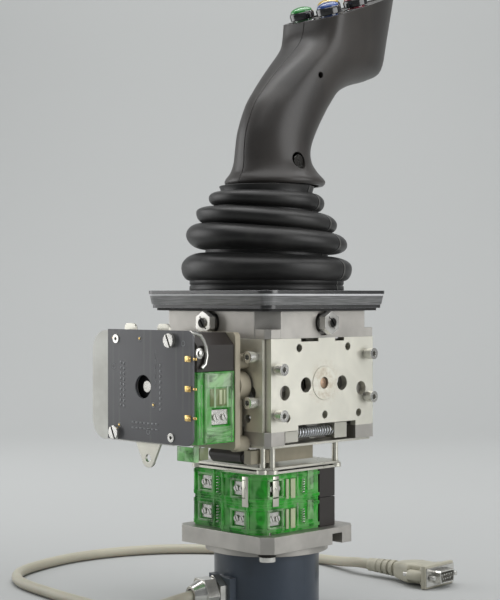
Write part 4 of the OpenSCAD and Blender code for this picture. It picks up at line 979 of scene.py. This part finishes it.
class MakeCord(bpy.types.Operator):
    """The cable that lies from the gland to the plug, and the plug's hood"""

    bl_idname = "joystick.make_cord"
    bl_label = "Cord"

    def execute(self, context):
        hood = self.hood()
        thick = context.scene.joystick_sizes.cable_diameter
        points = cord_route()
        last = len(points) - 1
        data = bpy.data.curves.new("cable_run", "CURVE")
        data.dimensions = "3D"
        data.bevel_depth = thick / 2
        data.bevel_resolution = 6
        data.resolution_u = 10
        line = data.splines.new("BEZIER")
        line.bezier_points.add(last)
        for i, spot in enumerate(line.bezier_points):
            slope = (points[min(i + 1, last)] - points[max(i - 1, 0)]) / 6
            spot.handle_left_type = spot.handle_right_type = "FREE"
            spot.co = points[i] * MM
            spot.handle_left = (points[i] - slope) * MM
            spot.handle_right = (points[i] + slope) * MM
        data.materials.append(finish("cord"))
        cable = placed("cable_run", data)
        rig.ride(cable, "base")
        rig.replaces(cable, "cable")
        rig.slot(cable, "cord_plastic")
        fine = catmull([list(p) for p in points], 24)
        run = sum((Vector(b) - Vector(a)).length for a, b in zip(fine, fine[1:])) * MM
        nodes = frame["nodes"]
        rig.cord(
            cable, exit=tuple(points[0] * MM), length=run, diameter=thick, far_end="plug", stiffness="medium",
            lay="loose", with_pieces=[nodes["strain_relief"], hood, nodes["plug_shell"]],
        )
        return {"FINISHED"}

    def hood(self):
        """A hood that flares from the cable to a wide plate, waisted where the thumb screws pass."""
        shape = Shape(Matrix.Translation(PLUG_AT) @ Matrix.Rotation(PLUG_YAW, 4, "Z"))
        boxy = 0.4
        rings = []
        for x, wide, high in HOOD:
            corner = [(cos(a), sin(a)) for a in turns(32, 0.5)]
            rings.append([
                (x, wide * copysign(abs(c) ** boxy, c), high * copysign(abs(s) ** boxy, s)) for c, s in corner
            ])
        shape.rings(rings)
        shape.block((54.4, -16.4, -7.7), (58, 16.4, 7.7), 0.8)
        for side in (-12.5, 12.5):
            shape.disc(3.6, 41.4, 54.8, (0, side, 0), X, 1.6)
        made = shape.make("plug_hood_moulding", "hood", angle=40.0)
        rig.replaces(made, "plug_hood")
        return made


# Folds of the bellows: radius, height of the middle, half height, radius of the valley below and above.
FOLDS = [(52.9, 14.1, 8.1, 47.3, 38), (50, 31.2, 7.4, 38, 38.8), (43.7, 44.4, 5.6, 38.8, 31),
         (35.9, 55.6, 4.9, 31, 28.5)]
# Lean of the folds: height over the foot, degrees.
SAG = [(0, 0), (14.1, 0.4), (31.2, 3.6), (44.4, 5.0), (55.6, 2.6), (66, 0)]
BELLOWS_WALL = 1.0
# Radius and height over the foot, then radius and drop below the top.
BELLOWS_FLANGE = [
    (43.8, 0), (47.6, 0), (47.9, 0.5), (47.8, 2.6), (47.2, 3.0), (47.2, 3.5), (47.8, 3.9), (47.8, 6.0),
]
BELLOWS_NECK = [(28.5, 3), (29.2, 1.2), (29.5, 0.3), (28.9, 0), (23.5, 0), (26.5, 4)]


def sag_at(height):
    """The tilt of the bellows, in degrees, at a height over its foot."""
    for (z0, a0), (z1, a1) in zip(SAG, SAG[1:]):
        if height <= z1:
            t = max(0.0, (height - z0) / (z1 - z0))
            return a0 + (a1 - a0) * t * t * (3 - 2 * t)
    return 0.0


def fold_profile(fold, shrink, steps=22):
    """Half a turn of one fold, from its lower valley to its upper one."""
    radius, middle, half, below, above = fold
    out = []
    for i in range(steps + 1):
        t = radians(-90 + 180 * i / steps)
        valley = below if t < 0 else above
        bulge = max(cos(t), 0.0) ** 0.92
        out.append((valley - shrink + (radius - valley) * bulge, middle + (half - shrink) * sin(t)))
    return out


def fold_pair(lower, upper):
    """The outer profile of two folds, upwards, and the inner one, downwards."""
    outer = fold_profile(lower, 0) + fold_profile(upper, 0)
    inner = fold_profile(upper, BELLOWS_WALL)[::-1] + fold_profile(lower, BELLOWS_WALL)[::-1]
    return outer, inner


class MakeBellows(bpy.types.Operator):
    """The rubber bellows in two bands, so that each bends over one joint"""

    bl_idname = "joystick.make_bellows"
    bl_label = "Bellows"

    def execute(self, context):
        top = GRIP_BASE - BELLOWS_FOOT - 0.6
        split = FOLDS[1][1] + FOLDS[1][2] + 0.1
        waist = FOLDS[1][4]
        inside, outside = (waist - BELLOWS_WALL, split), (waist, split)
        neck = [(r, top - drop) for r, drop in BELLOWS_NECK]
        outer, inner = fold_pair(FOLDS[0], FOLDS[1])
        low_band = self.band("bellows_lower", BELLOWS_FLANGE + outer + [outside, inside] + inner + [(43.8, 5)])
        outer, inner = fold_pair(FOLDS[2], FOLDS[3])
        high_band = self.band("bellows_upper", [inside, outside] + outer + neck + inner)
        at = lambda z: (0, 0, (BELLOWS_FOOT + z) * MM)
        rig.blend(low_band, "base", "gimbal", at(2), at(split))
        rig.blend(high_band, "gimbal", "stick", at(split), at(top))
        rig.replaces(low_band, "bellows")
        return {"FINISHED"}

    def band(self, name, profile):
        shape = Shape()
        rings = []
        for a in turns(128):
            out = Vector((cos(a), sin(a), 0))
            ring = []
            for radius, height in profile:
                point = out * radius
                drop = tan(radians(sag_at(height))) * point.dot(RIGHT)
                ring.append(point + UP * (BELLOWS_FOOT + height - drop))
            rings.append(ring)
        shape.rings(rings, False, True)
        return shape.make(name, "rubber", None, 75.0)


# Stations of the grip: rear point, front point, half width, place of the widest point along the
# section, and how boxy the rear and the front half are. Points are [forward, up].
STATIONS = [
    [-23, 0, 37.5, 0, 30.2, 0.5, 2, 2],
    [-24, 1.8, 38.8, 1.8, 31.4, 0.5, 2, 2],
    [-23.4, 4, 38, 4, 30.6, 0.5, 2, 2],
    [-21, 8, 34.6, 8, 27, 0.5, 2, 2],
    [-19.8, 14, 31, 14, 23.6, 0.5, 2, 2],
    [-19.5, 22, 30.7, 22, 22, 0.5, 2, 2],
    [-17.5, 34, 35.5, 32, 21.2, 0.5, 2.1, 2],
    [-10.5, 50, 43.5, 44, 21.2, 0.48, 2.2, 2],
    [-1.5, 61, 51.5, 54.5, 21.4, 0.45, 2.4, 2],
    [8, 71, 60.5, 63, 21.8, 0.4, 2.6, 1.9],
    [17.5, 80, 74, 69, 22.6, 0.34, 2.9, 1.8],
    [25, 87, 93, 74.5, 23.4, 0.28, 3.1, 1.75],
    [30, 92.5, 106.5, 82, 24, 0.22, 3.2, 1.7],
    [33, 98.5, 112.5, 103, 24.6, 0.18, 3.3, 1.7],
]
HEAD_DEPTH = 91
HEAD_AHEAD, HEAD_RISE = 34.3, 106
SLOPE = radians(19)
HEAD_REAR = Vector((0, HEAD_AHEAD, GRIP_BASE + HEAD_RISE))
HEAD_ALONG = Vector((0, cos(SLOPE), sin(SLOPE)))
HEAD_UP = Vector((0, -sin(SLOPE), cos(SLOPE)))
STATIONS.append([
    HEAD_AHEAD, HEAD_RISE, HEAD_AHEAD + HEAD_DEPTH * cos(SLOPE), HEAD_RISE + HEAD_DEPTH * sin(SLOPE),
    25, 0.17, 3.3, 1.7,
])
# The grip screw's recess and a small hole above it: forward and up, radius, depth from the middle.
GRIP_HOLES = (((4.6, 14.4), 5.3, 17.0), ((26, 69), 2.0, 15.0))


def section_point(g, turn, inset):
    """A point of a grip section at a turn in degrees, from the front (0) to the rear (180)."""
    rear, front = Vector((g[0], g[1])), Vector((g[2], g[3]))
    depth = (front - rear).length
    wide = g[5] * depth
    ahead = turn < 90
    half = (depth - wide if ahead else wide) - inset
    power_of = 2 / (g[7] if ahead else g[6])
    c, s = abs(cos(radians(turn))), max(sin(radians(turn)), 0.0)
    along = wide + (1 if ahead else -1) * half * c**power_of
    middle = rear + (front - rear).normalized() * along
    return (g[4] - inset) * s**power_of, middle.x, middle.y


def seam_turn(g, share, ahead):
    """The turn at which a section is a small share of its half width from the middle plane."""
    angle = degrees(asin(share ** ((g[7] if ahead else g[6]) / 2)))
    return angle if ahead else 180 - angle


class MakeGrip(bpy.types.Operator):
    """The two half shells of the grip, with the groove between them"""

    bl_idname = "joystick.make_grip"
    bl_label = "Grip"

    def execute(self, context):
        groove = context.scene.joystick_sizes.groove_depth / MM
        right = self.half("grip_half_right", 1, groove)
        left = self.half("grip_half_left", -1, groove)
        for (ahead, up), radius, seat in GRIP_HOLES:
            cutter = Shape()
            cutter.disc(radius, seat, 45, (0, ahead, GRIP_BASE + up), X, 0.05)
            carve(right, cutter.make("hole_cutter", "grip", None))
        right.data.set_sharp_from_angle(angle=radians(38))
        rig.replaces(right, "grip_shell_right")
        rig.replaces(left, "grip_shell_left")
        return {"FINISHED"}

    def half(self, name, side, groove):
        steps, wall, seam, groove_half = 30, 2.8, 0.06, 0.32
        shape = Shape()
        rings = []
        for g in catmull(STATIONS, 6):
            share = groove_half / g[4]
            angles = [seam_turn(g, share, True)] + [3 + 174 * i / steps for i in range(steps + 1)]
            angles.append(seam_turn(g, share, False))
            outer = [section_point(g, 0, groove)] + [section_point(g, t, 0) for t in angles]
            outer.append(section_point(g, 180, groove))
            inner = [section_point(g, t, wall) for t in [0] + angles + [180]]
            ring = [(side * (max(x, 0) + seam), y, GRIP_BASE + z) for x, y, z in outer + inner[::-1]]
            rings.append(ring[::side])
        shape.rings(rings, False)
        last = len(rings[0]) // 2
        for row in (rings[0], rings[-1]):
            verts = [shape.mesh.verts.new(p) for p in row]
            for i in range(last - 1):
                j = len(row) - 1 - i
                shape.mesh.faces.new((verts[i], verts[i + 1], verts[j - 1], verts[j]))
        bmesh.ops.remove_doubles(shape.mesh, verts=shape.mesh.verts, dist=0.0005)
        return shape.make(name, "grip", "grip", 38.0)


# Buttons: colour, distance along the panel, distance from its middle.
BUTTONS = [("green", 12, -11.5), ("blue", 12, 11.5), ("yellow", 39.5, -11.5), ("red", 39.5, 11.5)]


class MakeButtons(bpy.types.Operator):
    """Push buttons: a coloured cap in a smoky collar, and a bezel on the panel"""

    bl_idname = "joystick.make_buttons"
    bl_label = "Buttons"

    def execute(self, context):
        r = context.scene.joystick_sizes.cap_diameter / MM / 2
        wide, low, shoulder, rise = r - 0.9, 5.2, 5.95, 3.1
        dome = [(0, low), (wide, low), (wide, shoulder)]
        for a in range(10, 91, 10):
            dome.append((wide * cos(radians(a)), shoulder + rise * sin(radians(a))))
        ring = [
            (r - 2.2, 1.3), (r - 0.5, 1.0), (r - 0.05, 1.4), (r, 4.2), (r - 0.25, 5.1), (r - 0.8, 5.75),
            (r - 1.05, 5.6), (r - 1.1, 5.0), (r - 2.2, 4.8),
        ]
        rim = [(r + 0.12, -1.0), (r + 0.75, -1.0), (r + 0.7, -0.4), (r + 0.4, -0.15), (r + 0.12, -0.3)]
        bezels = Shape()
        for colour, ahead, side in BUTTONS:
            foot = HEAD_REAR + HEAD_ALONG * ahead + Vector((side, 0, 0))
            cap, collar = Shape(), Shape()
            cap.lathe(dome, foot, HEAD_UP, 56)
            cap.disc(r - 2.4, -7.4, 5.6, foot, HEAD_UP)
            made = cap.make(f"{colour}_cap", f"cap_{colour}", f"{colour}_button", 30.0)
            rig.replaces(made, f"button_{colour}")
            collar.lathe(ring, foot, HEAD_UP, 56)
            collar.make(f"{colour}_collar", "smoke", f"{colour}_button", 40.0)
            bezels.lathe(rim, foot, HEAD_UP, 56)
        bezels.make("button_bezels", "smoke", "grip", 40.0)
        return {"FINISHED"}


class MakeSprings(bpy.types.Operator):
    """The centring springs, wound from round wire; each half follows the seat at its end"""

    bl_idname = "joystick.make_springs"
    bl_label = "Springs"

    def execute(self, context):
        sizes = context.scene.joystick_sizes
        wire = sizes.wire_diameter / MM / 2
        per_turn, crowding = 20, 0.012
        steps = per_turn * sizes.spring_turns
        for axis, node in ((1, "centring_spring_y"), (0, "centring_spring_x")):
            low, high = corners(node)
            middle = (low + high) / 2
            coil = (high.z - low.z) / 2 - wire
            start, end = low[axis] + wire, high[axis] - wire
            path = []
            for i in range(steps + 1):
                a = 2 * pi * i / per_turn
                t = i / steps
                point = UP * (middle.z + coil * sin(a))
                point[axis] = start + (end - start) * (t + crowding * sin(2 * pi * t))
                point[1 - axis] = middle[1 - axis] + coil * cos(a)
                path.append(point)
            halves = (("low", path[: steps // 2 + 1], low), ("high", path[steps // 2 :], high))
            for half, run, reach in halves:
                shape = Shape()
                shape.tube(run, wire)
                made = shape.make(f"{node}_{half}", "spring", None, 60.0)
                tip = middle * MM
                tip[axis] = reach[axis] * MM
                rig.blend(made, "base", f"seat_{node[-1]}_{half}", middle * MM, tip)
                if half == "low":
                    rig.replaces(made, node)
        return {"FINISHED"}


class MakeBlockParts(bpy.types.Operator):
    """Contact strips, bars, window frames and ribs of the lower switch block"""

    bl_idname = "joystick.make_block_parts"
    bl_label = "Lower block parts"

    def execute(self, context):
        block = corners("switch_level_upper")
        side_face, front_face = block[1].x, block[0].y
        set_back = front_face + 7
        low = level_of("switch_level_lower", 0)
        step = block[0].z - low
        strips, bars, covers, ribs, springs, rings = (Shape() for _ in range(6))
        for z in (low, low + step):
            top = z + step
            for y, wide in ((-15.1, 1.2), (-10.2, 2.0)):
                bars.block((side_face - 0.6, y - wide, z + 2.2), (side_face + 0.35, y + wide, top - 4), 0.25)
            covers.block((side_face - 0.5, 2.6, z + 6), (side_face + 0.5, 7.8, top - 0.4))
            covers.block((side_face - 0.5, -6.6, z + 3), (side_face + 0.4, -5.6, top - 1), 0.2)
            for x, y in ((-30.6, set_back), (-13.6, set_back), (-4.6, set_back), (1.2, front_face),
                         (22.4, front_face)):
                ribs.block((x - 0.8, y - 0.4, z + 1), (x + 0.8, y + 0.4, top - 1), 0.35)
            self.frame(covers, -21, set_back, z + step / 2, False)
            self.frame(covers, 14.5, front_face, z + step / 2, False)
            self.frame(covers, -25, side_face, z + step / 2, True)
            self.coil(springs, (-9.4, set_back - 0.2, z + 3), step - 7)
            self.coil(springs, (side_face + 0.2, -1.6, z + 4), step - 9)
        foot, middle, end = low + step - 1.5, low + 1.5 * step + 0.5, low + 2 * step - 1.5
        strips.block((20.6 - 2.5, front_face - 0.45, foot), (20.6 + 2.5, front_face + 0.1, end), 0.2)
        strips.disc(0.8, 0, 0.9, (20.6, front_face, middle), (0, -1, 0), 0.3, 20)
        strips.block((side_face - 0.1, -25.2 - 2.5, foot), (side_face + 0.45, -25.2 + 2.5, end), 0.2)
        strips.disc(0.8, 0, 0.9, (side_face, -25.2, middle), X, 0.3, 20)
        # Dark rings round the tops of two flange screw heads, under the flange: painted shade.
        low_end, high_end = corners("flange_screws")
        at, seat = high_end.x - 5, low_end.z + 5
        for side in (-1, 1):
            rings.disc(5.4, seat - 2.2, seat - 0.05, (side * at, -side * at, 0))
        rings.make("screw_head_shade_rings", "black_steel")
        strips.make("block_strips", "plate")
        bars.make("block_bars", "straw")
        covers.make("block_covers", "clear_pale")
        ribs.make("block_ribs", "clear_green")
        springs.make("block_springs", "bright", angle=60.0)
        return {"FINISHED"}

    def frame(self, shape, along, face, middle, turned):
        """A pale frame round a terminal's pocket, on the side face (turned) or the front one."""
        inner, outer, bar = 5.4, 6.7, 1.3
        for a0, a1, z0, z1 in (
            (-outer, -inner, -5.6, 5.6), (inner, outer, -5.6, 5.6),
            (-outer, outer, -5.9, bar - 5.9), (-outer, outer, 5.9 - bar, 5.9),
        ):
            low, high = middle + z0, middle + z1
            if turned:
                shape.block((face - 0.5, along + a0, low), (face + 0.45, along + a1, high), 0.25)
            else:
                shape.block((along + a0, face - 0.45, low), (along + a1, face + 0.5, high), 0.25)

    def coil(self, shape, foot, rise, radius=1.3, windings=6, wire=0.24):
        """A small upright contact spring."""
        steps = windings * 12
        path = []
        for i in range(steps + 1):
            a = 2 * pi * i / 12
            path.append(Vector(foot) + Vector((radius * cos(a), radius * sin(a), rise * i / steps)))
        shape.tube(path, wire, 6)


class MakeContactBlock(bpy.types.Operator):
    """The clear contact block of the front unit: core, stepped cover, window and foot"""

    bl_idname = "joystick.make_contact_block"
    bl_label = "Contact block"

    def execute(self, context):
        low, high = corners("contact_block")
        back, front = -high.y, -low.y
        left, right = low.x, high.x
        top, foot = high.z - PIVOT, low.z - PIVOT
        base = foot + 11
        clamp_x, clamp_z = back + 11.5, -17
        x0, x1 = back + 2.4, front - 4.6
        core, bore, pocket, cover, hood, panes, lines = (Shape(UNIT) for _ in range(7))
        core.block((back, left, base), (front, right - 1.2, top), 0.6)
        core.block((back + 13, 16, foot), (front, right - 4, base + 0.4), 0.6)
        made = core.make("contact_core", "clear_green")
        bore.disc(15, back - 1, front + 1, axis=X)
        carve(made, bore.make("bore_cutter", "clear_green", None))
        reach, half = 7.5, 4.8
        near, far = (clamp_x - reach, right - 6, clamp_z - half), (clamp_x + reach, right + 1, clamp_z + half)
        pocket.block(near, far)
        carve(made, pocket.make("pocket_cutter", "clear_green", None))
        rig.replaces(made, "contact_block")
        for a, b, c, d in (
            (x0, x1, -11.6, top - 0.4), (x0, clamp_x - 7.6, -22.6, -11.4), (clamp_x + 7.6, x1, -22.6, -11.4),
            (x0, x1, base + 0.8, -22.4),
        ):
            cover.block((a, right - 1.3, c), (b, right, d))
        hood.block((x0 + 1.4, right - 0.2, 0.2), (x1 - 1.4, right + 0.5, top - 1.2))
        for x in (x0 + 4.6, x1 - 7.4):
            hood.block((x - 0.7, right + 0.1, -11.4), (x + 0.7, right + 0.55, 0.6), 0.25)
        for x in (x0 + 0.6, x1 - 0.6):
            cover.block((x - 0.6, right - 0.2, base + 1), (x + 0.6, right + 0.5, top - 0.6), 0.25)
        panes.block((x0 + 3.6, right - 0.3, -10.6), (x1 - 3.8, right + 0.35, -0.6))
        panes.block((front - 11, right - 4.6, foot + 2), (front - 4, right - 3.75, base - 2))
        for x, wide in ((x0 + 7.0, 0.5), (x0 + 10.0, 1.1)):
            lines.block((x - wide, right + 0.2, -9.6), (x + wide, right + 0.5, -1.4), 0.2)
        out = right + 0.1
        for z in (-24.2, -26.3, -28.4):
            cover.tube([(x0 + 1.5, out, z), (clamp_x, out, z - 0.9), (x1 - 1, out, z + 0.4)], 0.45, 8)
        for x, z in ((front - 3.2, 2), (front - 1.4, -8)):
            cover.block((x - 0.5, right - 1.4, base + 4), (x + 0.5, right - 0.9, z), 0.2)
        cover.block((front - 3.4, right - 4.4, foot + 1), (front + 0.35, right - 3.6, base - 0.6))
        cover.block((front - 0.5, 17, foot + 1.2), (front + 0.3, right - 5, base - 1.4))
        cover.make("contact_cover", "clear_pale")
        panes.make("contact_panes", "clear_brown")
        hood.make("contact_hood", "clear_white")
        lines.make("contact_bars", "straw")
        return {"FINISHED"}


# The bent wire of the front unit's bracket, in the unit's own axes.
BRACKET_WIRE = [
    (100.4, 39.5, 31.6), (97, 39.6, 31.4), (92.5, 38.4, 30.2), (88, 36.2, 27.6), (85.2, 35.4, 23.6),
    (84.2, 35.3, 18.4), (85.4, 35.2, 13.4), (88, 35.0, 11.2),
]


class MakeBracket(bpy.types.Operator):
    """The bent bracket and its nut on the dark block of the front unit"""

    bl_idname = "joystick.make_bracket"
    bl_label = "Bracket"

    def execute(self, context):
        nut_at = (88.6, corners("insulator_block")[1].x, 19.6)
        bracket = Shape(UNIT)
        bracket.tube(BRACKET_WIRE, 1.15, 12)
        bracket.disc(3.2, 0, 1.0, nut_at, Y, 0.35)
        bracket.disc(1.9, 0.9, 2.2, nut_at, Y, 0.5)
        bracket.block((97.6, 34.8, 28.8), (99.0, 39.8, 32.4), 0.4)
        bracket.make("unit_bracket", "bright", angle=50.0)
        return {"FINISHED"}


class MakeShaftEnds(bpy.types.Operator):
    """Bronze thrust faces on the ends of the tilt journals"""

    bl_idname = "joystick.make_shaft_ends"
    bl_label = "Shaft ends"

    def execute(self, context):
        reach = corners("gimbal_ring")[1].x
        for name, body, ways in (("ring_ends", "gimbal", (X, (-1, 0, 0))), ("bail_end", "bail", (Y,))):
            ends = Shape()
            for way in ways:
                spot = Vector(way) * reach + UP * PIVOT
                ends.disc(3.3, -0.4, 0.35, spot, way, 0.3, 32)
                ends.disc(0.9, 0.3, 0.6, spot, way, 0.2, 20)
            ends.make(name, "bronze", body)
        return {"FINISHED"}


class MakeBoardParts(bpy.types.Operator):
    """Plain print, pads and rivets on the circuit board"""

    bl_idname = "joystick.make_board_parts"
    bl_label = "Board parts"

    def execute(self, context):
        low, high = corners("circuit_board")
        face, edge, ink = -low.y, high.x, -low.y + 0.06
        marks, pads = Shape(UNIT), Shape(UNIT)
        ring = [(1.15, 0), (1.6, 0), (1.6, 0.06), (1.15, 0.06)]
        for x, z in ((-26.5, 27.5), (-26, 11), (-3, 27.5), (-21, -23), (34, 25.5), (9, -10), (4.5, -25.5)):
            marks.lathe(ring, (face, x, z), X, 32)
        for z in (17, 11.5, 6, 0.5):
            marks.block((face, 10.6, z), (ink, 11.0, z + 4.4), 0.02)
        for row, x in enumerate((-20.4, -17.6, 14.0)):
            for k in range(9):
                z = 12.5 - 3.1 * k - 0.4 * row
                marks.block((face, x, z), (ink, x + 1.5, z + 1.7), 0.02)
        for k in range(7):
            x = 3.4 * k - 10
            marks.block((face, x, -21.2), (ink, x + 2.4, -20.2), 0.02)
            marks.block((face, x, -24.2), (ink, x + 2.6, -23.4), 0.02)
        marks.make("board_print", "print")
        for z in (17, 0.4, -15.8):
            pads.block((face, edge - 5.8, z - 1.7), (face + 0.45, edge - 1.1, z + 1.7), 0.15)
            pads.disc(0.9, 0, 1.1, (face, edge - 2.1, z), X, 0.35, 24)
            pads.block((face - 1.2, edge - 0.3, z - 0.7), (face - 0.2, edge + 2.6, z + 0.7), 0.2)
        for x, z in ((-26.5, 27.5), (-3, 27.5), (9, -10), (-21, -23)):
            pads.disc(0.75, 0, 0.25, (face, x, z), X, 0.1, 20)
        pads.make("board_pads", "gold")
        return {"FINISHED"}


class ApplyFinishes(bpy.types.Operator):
    """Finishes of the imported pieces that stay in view"""

    bl_idname = "joystick.apply_finishes"
    bl_label = "Finishes"

    def execute(self, context):
        for look, nodes in WORN_BY.items():
            for node in nodes.split():
                data = frame["nodes"][node].data
                data.materials.clear()
                data.materials.append(finish(look))
        return {"FINISHED"}


class JOYSTICK_PT_pieces(bpy.types.Panel):
    """The pieces of the joystick, in the order in which they are made"""

    bl_label = "Industrial Joystick"
    bl_space_type = "VIEW_3D"
    bl_region_type = "UI"
    bl_category = "Joystick"

    def draw(self, context):
        column = self.layout.column()
        for maker in MAKERS:
            column.operator(maker.bl_idname)
        for name in GROUPS:
            group = getattr(context.scene, name)
            box = self.layout.box()
            for key in group.__annotations__:
                box.prop(group, key)


MAKERS = (
    MakeStage, MakeCord, MakeBellows, MakeGrip, MakeButtons, MakeSprings, MakeBlockParts, MakeContactBlock,
    MakeBracket, MakeShaftEnds, MakeBoardParts, ApplyFinishes,
)
GROUPS = {
    "joystick_sizes": JoystickSizes,
    "joystick_colours": JoystickColours,
    "joystick_studio": JoystickStudio,
}


def register():
    for name, group in GROUPS.items():
        bpy.utils.register_class(group)
        setattr(bpy.types.Scene, name, bpy.props.PointerProperty(type=group))
    for maker in (*MAKERS, JOYSTICK_PT_pieces):
        bpy.utils.register_class(maker)


def unregister():
    for maker in reversed((*MAKERS, JOYSTICK_PT_pieces)):
        bpy.utils.unregister_class(maker)
    for name, group in reversed(list(GROUPS.items())):
        delattr(bpy.types.Scene, name)
        bpy.utils.unregister_class(group)


def plain(box):
    return [[float(x) for x in corner] for corner in box]


def main():
    register()
    bpy.ops.joystick.make_stage()
    bpy.ops.joystick.make_cord()
    bpy.ops.joystick.make_bellows()
    bpy.ops.joystick.make_grip()
    bpy.ops.joystick.make_buttons()
    bpy.ops.joystick.make_springs()
    bpy.ops.joystick.make_block_parts()
    bpy.ops.joystick.make_contact_block()
    bpy.ops.joystick.make_bracket()
    bpy.ops.joystick.make_shaft_ends()
    bpy.ops.joystick.make_board_parts()
    bpy.ops.joystick.apply_finishes()
    with open("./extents.json", "w") as out:
        json.dump({"cad": plain(CAD_BOX), "visual": plain(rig.bounds())}, out)


if __name__ == "__main__":
    main()
